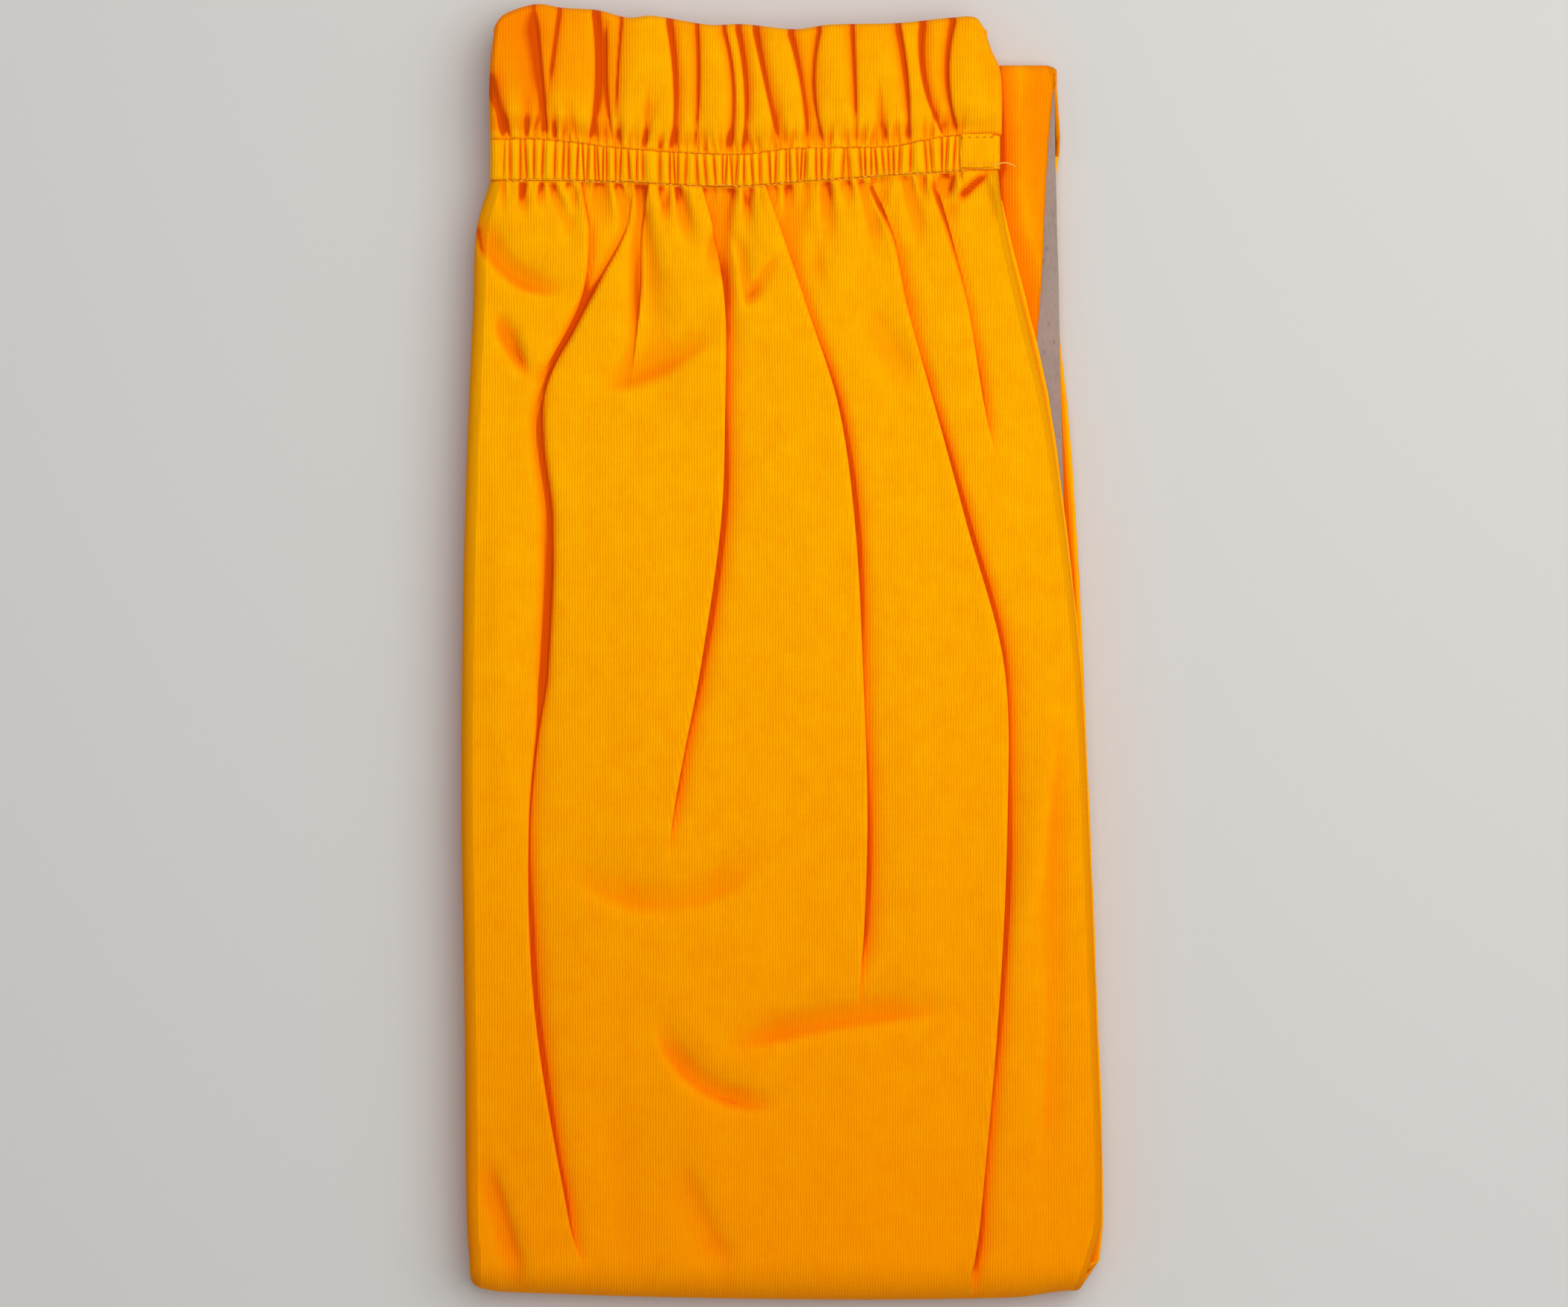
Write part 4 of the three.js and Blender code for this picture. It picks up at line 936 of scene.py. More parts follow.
def jersey(name, cloth):
    """Cotton single jersey, piece-dyed and not brushed: fine upright wales, a soft mottle from the fold marks
    and the dye, and a dull nap at grazing angles. Painted shade, standing in for folds that throw light at
    each other, turns it deeper and redder in hollows, at the bottom of folds and towards the bottom bend; a
    painted highlight lightens ridges, and a faint painted red glow warms the folds."""
    material, add = new_material(name)
    uv = add("ShaderNodeUVMap", uv_map="cloth")
    parts = add("ShaderNodeSeparateXYZ", {"Vector": uv})
    # Yarns are never straight: the wales wander by a third of their pitch over a few centimetres.
    drift = add("ShaderNodeTexNoise", {"Vector": uv, "Scale": 60, "Detail": 2})
    across = add(
        "ShaderNodeMath", {0: drift, 1: 0.9 * cloth.wale, 2: parts.outputs["X"]}, operation="MULTIPLY_ADD")
    waves = []
    for place, pitch in ((across, cloth.wale), (parts.outputs["Y"], cloth.course)):
        angle = add("ShaderNodeMath", {0: place, 1: 2 * math.pi / pitch}, operation="MULTIPLY")
        waves.append(add("ShaderNodeMath", {0: angle}, operation="SINE"))
    knit = add("ShaderNodeMath", {0: waves[1], 1: 0.35, 2: waves[0]}, operation="MULTIPLY_ADD")
    # Slub: stretched noise along the wales, 0.7 mm wide and some 8 mm long.
    stretch = add("ShaderNodeMapping", {"Vector": uv, "Scale": (1400, 120, 1)})
    slub = add("ShaderNodeTexNoise", {"Vector": stretch, "Scale": 1, "Detail": 2})
    mottle = add("ShaderNodeTexNoise", {"Vector": uv, "Scale": 110, "Detail": 5, "Roughness": 0.65})
    crease = add("ShaderNodeAttribute", attribute_name="crease").outputs["Fac"]
    lighter = scaled(cloth.colour, 1.02, 1.1, 1.2)
    colour = tinted(add, scaled(cloth.colour, 0.98, 0.92, 0.85), lighter, mottle, 0.35, 0.65, 1)
    colour = tinted(add, colour, scaled(cloth.colour, 0.9, 0.7, 0.5), knit, -1.2, 0.6, 0, 0.45)
    colour = tinted(add, colour, lighter, slub, 0.45, 0.7, 0.55)
    # Painted shade: the cloth is coloured deeper towards the bottom bend, where less light falls.
    colour = tinted(add, colour, cloth.deep, parts.outputs["Y"], 0.06, -0.21, 0.48)
    # Painted shade from the crease attribute: deeper in hollows, darkest at the bottom of folds, with a
    # painted highlight on ridges.
    colour = tinted(add, colour, cloth.deep, crease, 0.02, 0.85, 0.9)
    colour = tinted(add, colour, cloth.bottom, crease, 0.75, 1, 0.9)
    colour = tinted(add, colour, lighter, crease, 0, -0.5, 0.9)
    height = add("ShaderNodeMath", {0: slub, 1: 1.5, 2: knit}, operation="MULTIPLY_ADD")
    bump = add("ShaderNodeBump", {"Height": height, "Strength": 0.5, "Distance": 0.00012})
    # Painted light: a faint red glow over all the cloth, strongest at the bottom of a fold, stands in for
    # light that has passed through the thin cloth and warms the shaded sides.
    painted_red_glow = add("ShaderNodeMapRange", {
        "Value": crease, "From Min": 0.1, "From Max": 1, "To Min": 0.06, "To Max": 0.12})
    shader = add("ShaderNodeBsdfPrincipled", {
        "Base Color": colour, "Normal": bump, "Roughness": cloth.roughness, "IOR": 1.45,
        "Specular IOR Level": 0.1, "Specular Tint": srgb("#ffbc40"),
        "Sheen Weight": 0.1, "Sheen Roughness": 0.5, "Sheen Tint": srgb("#ffc440"),
        "Emission Color": srgb("#ff3a00"), "Emission Strength": painted_red_glow})
    add("ShaderNodeOutputMaterial", {"Surface": shader})
    return material


def thread_material(name, colour):
    """Spun polyester sewing thread: smoother than the cloth, so it catches a little light on each stitch."""
    material, add = new_material(name)
    place = add("ShaderNodeTexCoord").outputs["Object"]
    ply = add("ShaderNodeTexNoise", {"Vector": place, "Scale": 2500, "Detail": 1})
    dark, pale = scaled(colour, 0.75), scaled(colour, 1.15)
    tint = add("ShaderNodeMix", {"Factor": ply, MIX_A: dark, MIX_B: pale}, data_type="RGBA")
    bump = add("ShaderNodeBump", {"Height": ply, "Strength": 0.3, "Distance": 0.0001})
    shader = add("ShaderNodeBsdfPrincipled", {
        "Base Color": tint, "Normal": bump, "Roughness": 0.55, "IOR": 1.5, "Specular IOR Level": 0.35})
    add("ShaderNodeOutputMaterial", {"Surface": shader})
    return material


def card_material(name, board):
    """Grey pulp board, pressed and uncoated: dull, with short dark and pale fibres and a faint cloudiness."""
    material, add = new_material(name)
    place = add("ShaderNodeTexCoord").outputs["Object"]
    stretch = add("ShaderNodeMapping", {"Vector": place, "Scale": (1, 0.45, 1)})
    fibre = add(
        "ShaderNodeTexNoise", {"Vector": stretch, "Scale": 1 / board.grain, "Detail": 5, "Roughness": 0.7})
    cloud = add("ShaderNodeTexNoise", {"Vector": place, "Scale": 45, "Detail": 3})
    fleck = add("ShaderNodeTexVoronoi", {"Vector": stretch, "Scale": 330})
    dark, pale = scaled(board.colour, 0.72), scaled(board.colour, 1.28)
    colour = add("ShaderNodeMix", {"Factor": fibre, MIX_A: dark, MIX_B: pale}, data_type="RGBA")
    colour = tinted(add, colour, scaled(board.colour, 1.3), cloud, 0.35, 0.65, 0.35)
    colour = tinted(add, colour, scaled(board.colour, 0.45), fleck, 0.05, 0.18, 0, 0.5)
    bump = add("ShaderNodeBump", {"Height": fibre, "Strength": 0.4, "Distance": 0.0003})
    shader = add("ShaderNodeBsdfPrincipled", {
        "Base Color": colour, "Normal": bump, "Roughness": 0.93, "IOR": 1.45, "Specular IOR Level": 0.25})
    add("ShaderNodeOutputMaterial", {"Surface": shader})
    return material


def shared_jersey():
    """The one jersey that every piece of cloth is cut from."""
    name = "orange_cotton_jersey"
    return bpy.data.materials.get(name) or jersey(name, bpy.context.scene.salwar.cloth)


def dress(piece, node=None):
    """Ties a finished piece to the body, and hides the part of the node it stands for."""
    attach(piece, BODY)
    if node:
        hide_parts(node)


# ---------- pieces ----------
# Columns of mesh in each panel between two long folds of the front: beside the seam, then further down.
SEAM_COLUMNS = (56, 32, 12, 34, 42, 66, 42, 42)
PLEAT_COLUMNS = (15, 4, 15, 19, 26, 24, 12, 12)
SEAM_ROWS_END = 0.11  # share of the front's length with the finer columns


def panel_columns(counts):
    """Columns of the front, with six more in the strip on either side of each long fold."""
    zone = steps(6, 0, ZONE_SHARE)
    flat = [
        panel + np.concatenate([zone[:-1], steps(count, ZONE_SHARE, 1 - ZONE_SHARE), 1 - zone[-2:0:-1]])
        for panel, count in enumerate(counts)
    ]
    return rolled(np.concatenate([*flat, [PANELS]]), 6)


class SALWAR_OT_upper_leg(bpy.types.Operator):
    """The upper leg: gathered and pleated front, round the board, to the ankle end over its top edge"""

    bl_idname = "salwar.upper_leg"
    bl_label = "Upper leg"

    def execute(self, context):
        gathers = context.scene.salwar.waist.gathers
        plain = rolled(steps(PANELS * 3, 0, PANELS), 3)
        back = rolled(steps(PANELS * 9, 0, PANELS), 4)
        rows = (
            (panel_columns(SEAM_COLUMNS), stretches((46, 0, SEAM_ROWS_END))),
            (panel_columns(PLEAT_COLUMNS), stretches((215, SEAM_ROWS_END, 1), (14, 1, 2))[1:]),
            (back, stretches((70, 2, 3), (12, 3, 4), (24, 4, 5))[1:]),
        )
        outer = [(v, columns) for columns, places in rows for v in places]
        inner = [(v, plain) for v in stretches((40, 0, 1), (6, 1, 2), (20, 2, 3), (6, 3, 4), (6, 4, 5))]
        surface = Surface(lambda x, y: front_height(x, y, gathers), FRONT_SPAN.x, FRONT_SPAN.y)
        shell = wall(lambda c, v, inset: leg_row(c, v, inset, surface), outer, inner, CLOTH)
        piece = shell.object("upper_leg_cloth", shared_jersey())
        dress(piece, "upper_leg")
        return {"FINISHED"}


def rounded_edges(low, high, insets):
    """Outline of the rounded edges of layers above each other: distance in from the side, and height. Each
    layer has its own inset."""
    half = (high - low) / len(insets) / 2
    return [
        (inset + EDGE_BULGE * (1 - math.sqrt(1 - t * t)), low + (2 * layer + 1) * half + t * half)
        for layer, inset in enumerate(insets) for t in steps(6, -0.97, 0.97)
    ]


def layered_side(top, shelf, end, wave):
    """One side of the lower leg's outline, as distance in from it and depth below the pack's top. The edges
    of its layers lie below a shelf."""
    insets = [0.25 + 0.35 * math.sin(wave + 2.3 * layer) for layer in range(LEG_LAYERS)]
    return [(7, top), (3, top + 0.2), *rounded_edges(shelf, end, insets), (2.6, end)]


class SALWAR_OT_lower_leg(bpy.types.Operator):
    """The lower leg: hidden layers that follow the upper leg round the board and show as folded edges"""

    bl_idname = "salwar.lower_leg"
    bl_label = "Lower leg"

    def execute(self, context):
        def ring(v):
            station = leg_station(v)
            share = min(max(v - 1, 0), 1)
            over_ankle = v <= 1 and station.y > ANKLE_END_Y - 12
            floor = (ANKLE_HIGH if over_ankle else LEG_BELOW_BOARD_TOP) + GAP
            ease = 0.5 * station.out
            top = lerp(CLOTH + GAP + FOLD_ROOM, CLOTH + GAP, min(share * 1.5, 1)) + ease
            shelf = lerp(CLOTH + GAP + FOLD_ROOM + 0.6, BACK_ROLL[0] * 1.35 + GAP, share)
            end = lerp(PACK_HIGH - floor, BOARD.low - GAP, share)
            shown = shown_right(station.y) if v <= 1 else 0
            left, right = station.left + 0.4, station.right - 0.2 + shown
            wave = 0.05 * station.y
            left_side = layered_side(top, shelf, end, wave)
            right_side = layered_side(top, shelf, end, 1.3 * wave + 2)
            middle = lerp(left, right, steps(12, 0.12, 0.88))
            outline = [(left + x, d) for x, d in left_side[::-1]] + [(x, top) for x in middle]
            outline += [(right - x, d) for x, d in right_side] + [(x, end) for x in middle[::-1]]
            x, depth = np.array(outline).T
            reach = BEND_Y - bottom_fold(x)
            z = PACK_HIGH / 2 + station.up * (PACK_HIGH / 2 - depth)
            points = np.stack([x, station.y - station.out * (reach - depth), z], 1)
            # Painted shade deepens the layers inwards, under the upper leg, and a painted highlight lightens
            # their outer edges.
            inward = np.minimum(x - left, right - x)
            return points, np.stack([x, points[:, 1]], 1), np.clip(0.9 * inward - 0.7, -0.5, 0.9)

        # The rings part at the step down behind the ankle end, and stop below the board's top edge.
        below_step = stretches((90, 0.24, 1), (12, 1, 2), (60, 2, 2.94))
        places = np.concatenate([steps(4, 0.012, 0.19), steps(2, 0.205, 0.23), below_step])
        shell = Shell()
        shell.tube([shell.ring(ring(v)) for v in places])
        piece = shell.object("lower_leg_layers", shared_jersey(), sharp=70)
        dress(piece, "lower_leg")
        return {"FINISHED"}


def casing_row(columns, v, inset, waist):
    """A row of the casing. Whole columns are the valleys between its gathers."""
    last = waist.gathers
    at = valleys(last)
    on_flat = (columns >= 0) & (columns <= last)
    place = np.where(columns < 0, columns, np.where(columns > last, columns - last + 1, 0.5))
    left = HEADER_EDGE.left(SEAM_Y)
    roll_x, drop, facing = across_panel(place, left, CASING_RIGHT, (WAIST_ROLL, WAIST_ROLL), inset)
    x = np.where(on_flat, np.interp(columns, at.count, at.x), roll_x)
    foot, top = casing_foot(x) + SEAM_GAP, casing_top(x) - SEAM_GAP
    swell = np.sin(math.pi * lerp(0.03, 0.97, v)) ** 0.5
    ridge = ruffle(x, last) ** 0.9 * at.tall[np.clip(np.floor(columns), 0, last).astype(int)]
    relief = waist.relief / MM * swell * np.where(on_flat, ridge, FLAT_SHARE * np.maximum(facing, 0))
    lean = (v - 0.5) * np.interp(columns, at.count, at.lean) * on_flat
    y = lerp(foot, top, v)
    depth = drop + inset * facing
    z = CASING_HIGH - depth + (relief if inset == 0 else 0)
    # Painted shade in the valleys between the gathers and a painted highlight on their ridges.
    crease = np.clip(1.8 * (0.6 - np.where(on_flat, ridge, 0.6)), -0.5, 0.88)
    return np.stack([x + lean, y, z], 1), np.stack([x, y], 1), crease


class SALWAR_OT_casing(bpy.types.Operator):
    """The elastic casing between its two rows of stitches"""

    bl_idname = "salwar.casing"
    bl_label = "Elastic casing"

    def execute(self, context):
        waist = context.scene.salwar.waist
        fine = rolled(steps(waist.gathers * 12, 0, waist.gathers), 6)
        coarse = rolled(steps(waist.gathers // 2, 0, waist.gathers))
        outer = [(v, fine) for v in steps(18)]
        inner = [(v, coarse) for v in steps(2)]
        shell = wall(
            lambda c, v, inset: casing_row(c, v, inset, waist), outer, inner, WAIST_CLOTH, upward=True)
        piece = shell.object("elastic_casing_cloth", shared_jersey())
        dress(piece, "elastic_casing")
        return {"FINISHED"}


def header_row(columns, v, inset, surface):
    """A row of the header. Rows past 1 are its rolled upper edge."""
    share = min(v, 1)
    turned = math.radians(max(v - 1, 0) * ROLL_TURN)
    middle_y = lerp(casing_top(0), header_top(0), share)
    left, right = HEADER_EDGE.left(middle_y), HEADER_EDGE.right(middle_y)
    x, drop, facing = across_panel(columns, left, right, (WAIST_ROLL, WAIST_ROLL), inset)
    foot, flat_top = casing_top(x) + SEAM_GAP, header_top(x) - WAIST_ROLL
    y = lerp(foot, flat_top, share) + (WAIST_ROLL - inset) * math.sin(turned)
    top_drop = WAIST_ROLL * (1 - math.cos(turned))
    facing_up = facing * math.cos(turned)
    up = share * (header_top(x) - casing_top(x))
    # The plain inner side lies below the deepest fold.
    height = surface.height(x, up) if inset == 0 else 0.2 * header_puff(up) - 0.5
    # Painted shade in the hollows and at the bottom of the deep folds, a painted highlight on the ridges, and
    # more painted shade towards the left end, which is turned away from the light.
    end_shade = lerp(0.75, 0.25, smoothstep(x, -95, -45)) * smoothstep(up, 0, 8)
    crease = np.clip(surface.hollow(x, up) + end_shade, -1, 1)
    crease = np.maximum(crease, 0.8 * header_bottoms(x, share) * np.maximum(facing_up, 0))
    depth = np.hypot(drop, top_drop) + inset * facing_up
    z = CASING_HIGH - depth + np.maximum(facing_up, 0) * height - sag(y)
    return np.stack([x, y, z], 1), np.stack([x, y], 1), crease


class SALWAR_OT_header(bpy.types.Operator):
    """The gathered header above the casing, with its rolled upper edge"""

    bl_idname = "salwar.header"
    bl_label = "Waist header"

    def execute(self, context):
        gathers = context.scene.salwar.waist.gathers
        fine = rolled(steps(600), 6)
        coarse = rolled(steps(36))
        outer = [(v, fine) for v in stretches((16, 0, 0.25), (34, 0.25, 1), (8, 1, 2))]
        inner = [(v, coarse) for v in (0, 0.15, 0.3, 0.5, 0.72, 1, 1.4, 1.75, 2)]

        def height(x, up):
            return header_height(x, up / (header_top(x) - casing_top(x)), gathers)

        surface = Surface(height, HEADER_SPAN.x, HEADER_SPAN.y)
        shell = wall(
            lambda c, v, inset: header_row(c, v, inset, surface), outer, inner, WAIST_CLOTH, upward=True)
        piece = shell.object("waist_header_cloth", shared_jersey())
        dress(piece, "waist_header")
        return {"FINISHED"}


class SALWAR_OT_waist_layers(bpy.types.Operator):
    """The waist's hidden layers, which show as folded edges under the header and the casing"""

    bl_idname = "salwar.waist_layers"
    bl_label = "Waist layers"

    def execute(self, context):
        floor = ANKLE_HIGH + GAP
        edges = rounded_edges(floor, WAIST_LAYERS_HIGH, WAIST_LAYER_INSETS)
        levels = [(3.5, floor), *edges, (5, WAIST_LAYERS_HIGH)]
        side_shares = steps(14)
        shell = Shell()

        def grid(z, inset):
            rows = []
            for share in side_shares:
                places = steps(60) if share in (0, 1) else np.array([0.0, 1.0])
                level = lerp(SEAM_Y + 4, header_top(0), share)
                left, right = HEADER_EDGE.left(level) + inset, HEADER_EDGE.right(level) - inset
                x = lerp(left, right, places)
                foot = np.maximum(casing_foot(x), SEAM_Y) + GAP + 0.3 * inset
                wave = 0.5 * np.sin(0.6 * x + 1.3 * z) + 0.3 * np.sin(1.7 * x + z)
                top = header_top(x) - inset + wave * smoothstep(share, 0.8, 1)
                y = lerp(foot, top, share)
                points = np.stack([x, y, z - sag(y)], 1)
                # A little painted shade over all of the layers, which lie under the header and the casing.
                rows.append(shell.row(places, (points, np.stack([x, y], 1), 0.2)))
            return rows

        def loop(rows):
            sides = rows[1:-1]
            index = [*rows[0].index, *(r.index[1] for r in sides), *rows[-1].index[::-1]]
            index += [*(r.index[0] for r in sides[::-1]), rows[0].index[0]]
            return SimpleNamespace(places=np.arange(len(index)), index=np.array(index))

        grids = [grid(z, inset) for inset, z in levels]
        for a, b in zip(grids, grids[1:]):
            shell.fill(loop(a), loop(b), True)
        for rows, flip in ((grids[0], False), (grids[-1], True)):
            for a, b in zip(rows, rows[1:]):
                shell.fill(a, b, flip)
        piece = shell.object("waist_layers_cloth", shared_jersey(), sharp=70)
        dress(piece, "waist_layers")
        return {"FINISHED"}


class SALWAR_OT_patch(bpy.types.Operator):
    """The doubled square over the join in the elastic"""

    bl_idname = "salwar.patch"
    bl_label = "Join patch"

    def execute(self, context):
        lift = GAP + FLAT_SHARE * 1.1  # the patch lies on the casing's flat end

        def patch_row(columns, v, inset):
            x = lerp(PATCH.left, PATCH.right, columns) + 0.25 * np.sin(5 * v) * (2 * columns - 1)
            y = lerp(casing_foot(x) + 0.8, casing_top(x) + 0.4, v) + 0.15 * np.sin(9 * columns)
            edge = 0.5 * np.maximum(np.abs(2 * columns - 1), abs(2 * v - 1)) ** 6
            pull = 0.22 * np.exp(-(((np.minimum(v, 1 - v) - 0.09) / 0.05) ** 2))
            face = PATCH.thick - edge - pull + 0.1 * wander(x, y, size=5, seed=5)
            z = CASING_HIGH + lift + (np.zeros_like(x) if inset else face)
            return np.stack([x, y, z], 1), np.stack([x, y], 1), np.zeros_like(x)

        outer = [(v, steps(36)) for v in steps(36)]
        inner = [(v, steps(1)) for v in steps(1)]
        shell = wall(patch_row, outer, inner, PATCH.thick, upward=True)
        piece = shell.object("join_patch_cloth", shared_jersey())
        dress(piece, "join_patch")
        return {"FINISHED"}


class SALWAR_OT_board(bpy.types.Operator):
    """The grey board in the pack, with slightly crushed edges"""

    bl_idname = "salwar.board"
    bl_label = "Board"

    def execute(self, context):
        # Inset and height of each level of the crushed edge, as shares of the thickness.
        profile = [(0.35, 0), (0.1, 0.12), (0, 0.4), (0, 0.62), (0.12, 0.88), (0.35, 1)]
        half_wide, half_long = BOARD.wide / 2, BOARD.long / 2
        turn = math.radians(BOARD.lean)
        middle = (BOARD.right - half_wide, BOARD.top - half_long)
        # Places round the edge: each of the four sides is 1 long.
        t = np.concatenate([steps(160)[:-1] + side for side in range(4)])
        side, f = np.floor(t).astype(int), t % 1
        sides = [side == 0, side == 1, side == 2]
        across = np.select(sides, [2 * f - 1, np.ones_like(f), 1 - 2 * f], -1.0)
        along = np.select(sides, [-np.ones_like(f), 2 * f - 1, np.ones_like(f)], 1 - 2 * f)
        shell = Shell()
        rings = []
        for inset, high in profile:
            worn = inset + 0.07 * np.sin(37 * t) + 0.05 * np.sin(91 * t + 1)
            x = across * (half_wide - worn * BOARD.thick)
            y = along * (half_long - worn * BOARD.thick)
            z = np.full_like(x, BOARD.low + high * BOARD.thick)
            points = np.stack([
                middle[0] + x * math.cos(turn) - y * math.sin(turn),
                middle[1] + x * math.sin(turn) + y * math.cos(turn), z], 1)
            rings.append(shell.ring((points, points[:, :2], 0)))
        shell.tube(rings, True)
        card = card_material("grey_pulp_board", context.scene.salwar.board)
        piece = shell.object("board_card", card, sharp=40)
        dress(piece, "board")
        return {"FINISHED"}


# ---------- stitches ----------
def stitch_tree(material):
    """Geometry Nodes that lay short lengths of thread along a path."""
    tree = bpy.data.node_groups.new("stitch_row", "GeometryNodeTree")
    add = functools.partial(add_node, tree)
    face = tree.interface
    face.new_socket("Geometry", in_out="INPUT", socket_type="NodeSocketGeometry")
    for name in ("Pitch", "Stitch length", "Thread thickness", "Wobble"):
        face.new_socket(name, in_out="INPUT", socket_type="NodeSocketFloat")
    face.new_socket("Seed", in_out="INPUT", socket_type="NodeSocketInt")
    face.new_socket("Geometry", in_out="OUTPUT", socket_type="NodeSocketGeometry")
    given = add("NodeGroupInput").outputs
    path = add("GeometryNodeMeshToCurve", {"Mesh": given["Geometry"]})
    spaced = add("GeometryNodeResampleCurve", {"Curve": path, "Length": given["Pitch"]}, mode="LENGTH")
    tangent = add("GeometryNodeInputTangent")
    facing = add("FunctionNodeAlignRotationToVector", {"Vector": tangent}, axis="X")
    away = add("ShaderNodeMath", {0: given["Wobble"], 1: -1}, operation="MULTIPLY")
    least, most = (add("ShaderNodeCombineXYZ", {"Z": turn}) for turn in (away, given["Wobble"]))
    jitter = add(
        "FunctionNodeRandomValue", {"Min": least, "Max": most, "Seed": given["Seed"]},
        data_type="FLOAT_VECTOR")
    size = add(
        "FunctionNodeRandomValue", {"Min": (0.55, 0.85, 0.85), "Max": (1.1, 1.1, 1.1), "Seed": given["Seed"]},
        data_type="FLOAT_VECTOR")
    turned = add(
        "FunctionNodeRotateRotation", {"Rotation": facing, "Rotate By": jitter}, rotation_space="LOCAL")
    thread = add("GeometryNodeMeshUVSphere", {"Segments": 8, "Rings": 6, "Radius": 0.5})
    shape = add("ShaderNodeCombineXYZ", {
        "X": given["Stitch length"], "Y": given["Thread thickness"], "Z": given["Thread thickness"]})
    stitch = add("GeometryNodeTransform", {"Geometry": thread, "Scale": shape})
    laid = add("GeometryNodeInstanceOnPoints", {
        "Points": spaced, "Instance": stitch, "Rotation": turned, "Scale": size})
    real = add("GeometryNodeRealizeInstances", {"Geometry": laid})
    smooth = add("GeometryNodeSetShadeSmooth", {"Geometry": real})
    painted = add("GeometryNodeSetMaterial", {"Geometry": smooth, "Material": material})
    add("NodeGroupOutput", {"Geometry": painted})
    return tree


def stitch_row(name, path, tree, values):
    """Evaluates the stitch tree on a path of points in millimetres and keeps the result as a plain mesh."""
    mesh = bpy.data.meshes.new(name + "_path")
    mesh.from_pydata((path * MM).tolist(), [(i, i + 1) for i in range(len(path) - 1)], [])
    guide = bpy.data.objects.new(name + "_path", mesh)
    bpy.context.scene.collection.objects.link(guide)
    modifier = guide.modifiers.new("stitches", "NODES")
    modifier.node_group = tree
    for item in tree.interface.items_tree:
        if item.item_type == "SOCKET" and item.in_out == "INPUT" and item.name in values:
            modifier[item.identifier] = values[item.name]
    depsgraph = bpy.context.evaluated_depsgraph_get()
    made = bpy.data.meshes.new_from_object(guide.evaluated_get(depsgraph), depsgraph=depsgraph)
    made.name = name
    piece = bpy.data.objects.new(name, made)
    bpy.context.scene.collection.objects.link(piece)
    bpy.data.objects.remove(guide)
    return piece


def thread_tube(name, path, high, thick, material):
    """A short free length of thread along a path of X and Y, which sinks a little towards its free end."""
    x_at, y_at = (smooth_curve(list(enumerate(values))) for values in zip(*path))
    shell = Shell()
    turns = np.radians(np.arange(0, 360, 45))
    rings = []
    for t in steps(24, 0, len(path) - 1):
        ahead = np.array([x_at(t + 0.02) - x_at(t - 0.02), y_at(t + 0.02) - y_at(t - 0.02)])
        side = np.array([-ahead[1], ahead[0]]) / np.hypot(*ahead) * thick / 2
        points = np.stack([
            x_at(t) + side[0] * np.cos(turns), y_at(t) + side[1] * np.cos(turns),
            high - 0.15 * t * t + thick / 2 * np.sin(turns)], 1)
        rings.append(shell.ring((points, points[:, :2], 0)))
    shell.tube(rings, True)
    return shell.object(name, material)


class SALWAR_OT_stitches(bpy.types.Operator):
    """The two seams of the casing and the patch's seams"""

    bl_idname = "salwar.stitches"
    bl_label = "Stitches"

    def execute(self, context):
        waist = context.scene.salwar.waist
        pale = thread_material("pale_sewing_thread", tuple(waist.thread_colour))
        dark = thread_material("orange_sewing_thread", srgb("#d97400"))
        x = steps(700, -96, 70)
        ridge = ruffle(x, waist.gathers)
        lower_y = casing_foot(x) + 0.35 * np.sin(0.21 * x) + 0.2 * np.sin(0.9 * x)
        lower = np.stack([x, lower_y, CASING_HIGH + 0.15 + 0.55 * ridge], 1)
        upper_y = casing_top(x) + 0.15 * np.sin(0.33 * x)
        upper = np.stack([x, upper_y, CASING_HIGH + 0.1 + 0.35 * ridge], 1)
        patch_x = steps(20, PATCH.left + 0.6, PATCH.right - 0.4)
        patch_z = np.full_like(patch_x, CASING_HIGH + 1.72)
        patch_top = np.stack([patch_x, casing_top(patch_x) - 0.7, patch_z], 1)
        patch_foot = np.stack([patch_x, casing_foot(patch_x) + 2, patch_z], 1)
        # Name, path, thread, pitch, stitch length, wobble and seed of each row.
        rows = (
            ("lower_seam_stitches", lower, pale, waist.stitch, 1.55 * MM, 0.3, 3),
            ("upper_seam_stitches", upper, dark, 0.9 * waist.stitch, 1.2 * MM, 0.15, 5),
            ("patch_top_stitches", patch_top, dark, 2.1 * MM, 1.2 * MM, 0.1, 7),
            ("patch_foot_stitches", patch_foot, pale, 2.1 * MM, 1.2 * MM, 0.15, 8),
        )
        thread_end = [(73, 169), (74.6, 169.8), (77, 170.4), (79.4, 169.9), (81, 169)]
        dress(thread_tube("loose_thread_end", thread_end, CASING_HIGH + 0.6, waist.thread / MM, pale))
        trees = {thread.name: stitch_tree(thread) for thread in (pale, dark)}
        for name, path, thread, pitch, long, wobble, seed in rows:
            values = {
                "Pitch": pitch, "Stitch length": long, "Thread thickness": waist.thread, "Wobble": wobble,
                "Seed": seed}
            dress(stitch_row(name, path, trees[thread.name], values))
        return {"FINISHED"}


# ---------- stage ----------
CAMERA_HIGH = 2.6
VIEW_WIDE = 0.546  # metres across the view at the height of the cloth
VIEW_CENTRE = (0.00026, -0.00052)
CLOTH_TOP = PACK_HIGH * MM
FLOOR_CORNERS = ((-1, -1), (1, -1), (1, 1), (-1, 1))
FLOOR_REACH = 4
FLOOR_Z = -0.0003  # just clear of the cloth's underside
KEY_PLACE = (0.5, 0.38, 1.2)
KEY_SIZE = 1.9


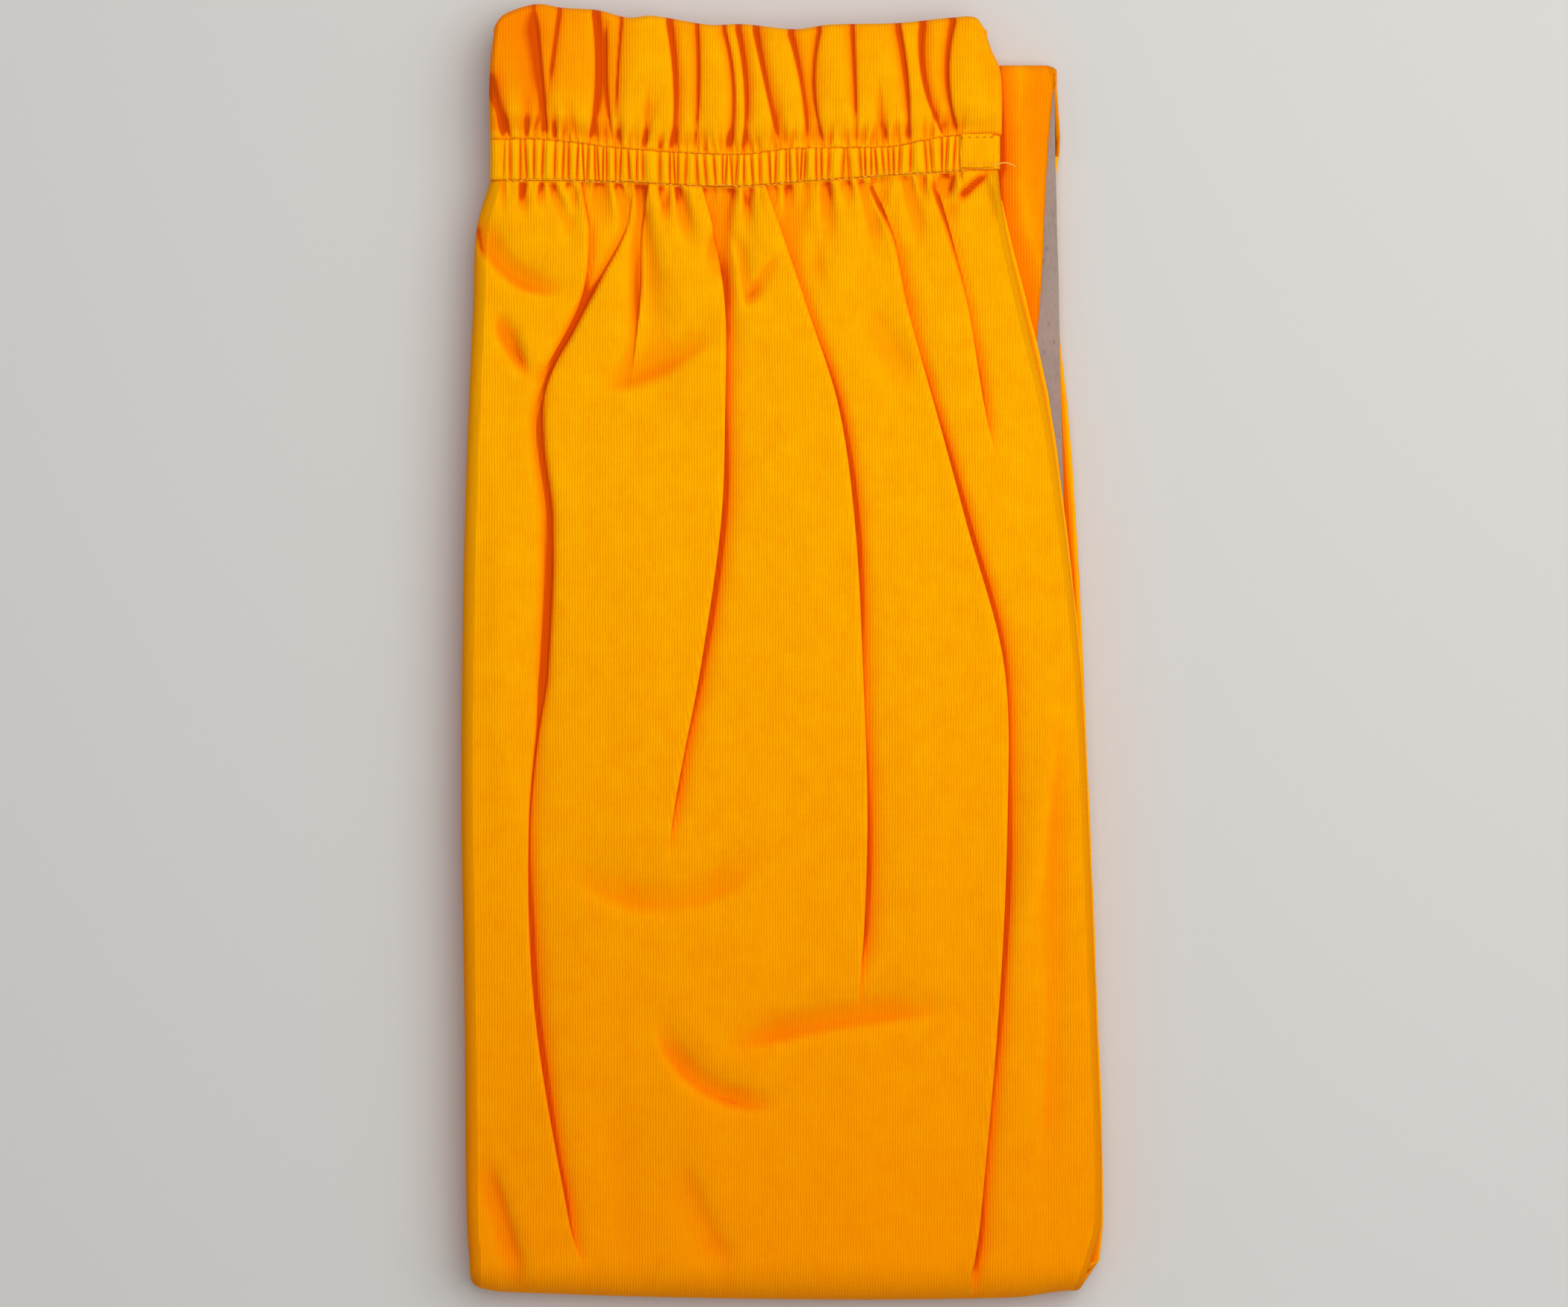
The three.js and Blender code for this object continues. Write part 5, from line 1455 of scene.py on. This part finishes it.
class SALWAR_OT_stage(bpy.types.Operator):
    """A plain pale floor, a large soft light from the upper right and a camera straight above"""

    bl_idname = "salwar.stage"
    bl_label = "Stage"

    def execute(self, context):
        scene = context.scene
        stage = scene.salwar.stage
        mesh = bpy.data.meshes.new("floor")
        corners = [(x * FLOOR_REACH, y * FLOOR_REACH, FLOOR_Z) for x, y in FLOOR_CORNERS]
        mesh.from_pydata(corners, [], [(0, 1, 2, 3)])
        floor = bpy.data.objects.new("floor", mesh)
        material, add = new_material("matt_pale_backdrop")
        shader = add("ShaderNodeBsdfPrincipled", {
            "Base Color": stage.floor, "Roughness": 0.9, "Specular IOR Level": 0.1})
        add("ShaderNodeOutputMaterial", {"Surface": shader})
        mesh.materials.append(material)

        world = bpy.data.worlds.new("pale_studio")
        world.use_nodes = True
        sky = world.node_tree.nodes["Background"]
        sky.inputs["Color"].default_value = (*srgb("#fbfdff"), 1)
        sky.inputs["Strength"].default_value = stage.sky
        scene.world = world

        lamp = bpy.data.lights.new("key", "AREA")
        lamp.shape = "DISK"
        lamp.size = KEY_SIZE
        lamp.energy = stage.key
        lamp.color = srgb("#fffdfa")
        key = bpy.data.objects.new("key", lamp)
        key.location = KEY_PLACE
        key.rotation_euler = (-Vector(KEY_PLACE)).to_track_quat("-Z", "Y").to_euler()

        lens = bpy.data.cameras.new("camera")
        lens.sensor_fit = "HORIZONTAL"
        lens.sensor_width = 36
        lens.lens = lens.sensor_width * (CAMERA_HIGH - CLOTH_TOP) / VIEW_WIDE
        lens.clip_end = 20
        camera = bpy.data.objects.new("camera", lens)
        camera.location = (*VIEW_CENTRE, CAMERA_HIGH)

        for item in (floor, key, camera):
            scene.collection.objects.link(item)
        scene.camera = camera
        scene.view_settings.view_transform = "Standard"
        return {"FINISHED"}


# ---------- panel and registration ----------
OPERATORS = (
    SALWAR_OT_upper_leg,
    SALWAR_OT_lower_leg,
    SALWAR_OT_casing,
    SALWAR_OT_header,
    SALWAR_OT_waist_layers,
    SALWAR_OT_patch,
    SALWAR_OT_board,
    SALWAR_OT_stitches,
    SALWAR_OT_stage,
)


class SALWAR_PT_pieces(bpy.types.Panel):
    bl_idname = "SALWAR_PT_pieces"
    bl_label = "Folded salwar"
    bl_space_type = "VIEW_3D"
    bl_region_type = "UI"
    bl_category = "Salwar"

    def draw(self, context):
        for group in ("cloth", "waist", "board", "stage"):
            box = self.layout.box()
            values = getattr(context.scene.salwar, group)
            for name in values.__annotations__:
                box.prop(values, name)
        for operator in OPERATORS:
            self.layout.operator(operator.bl_idname)


CLASSES = (SalwarCloth, SalwarWaist, SalwarBoard, SalwarStage, SalwarSizes, *OPERATORS, SALWAR_PT_pieces)


def register():
    for cls in CLASSES:
        bpy.utils.register_class(cls)
    bpy.types.Scene.salwar = PointerProperty(type=SalwarSizes)


def unregister():
    del bpy.types.Scene.salwar
    for cls in reversed(CLASSES):
        bpy.utils.unregister_class(cls)


def main():
    register()
    for operator in OPERATORS:
        getattr(bpy.ops.salwar, operator.bl_idname.split(".")[1])()


if __name__ == "__main__":
    main()
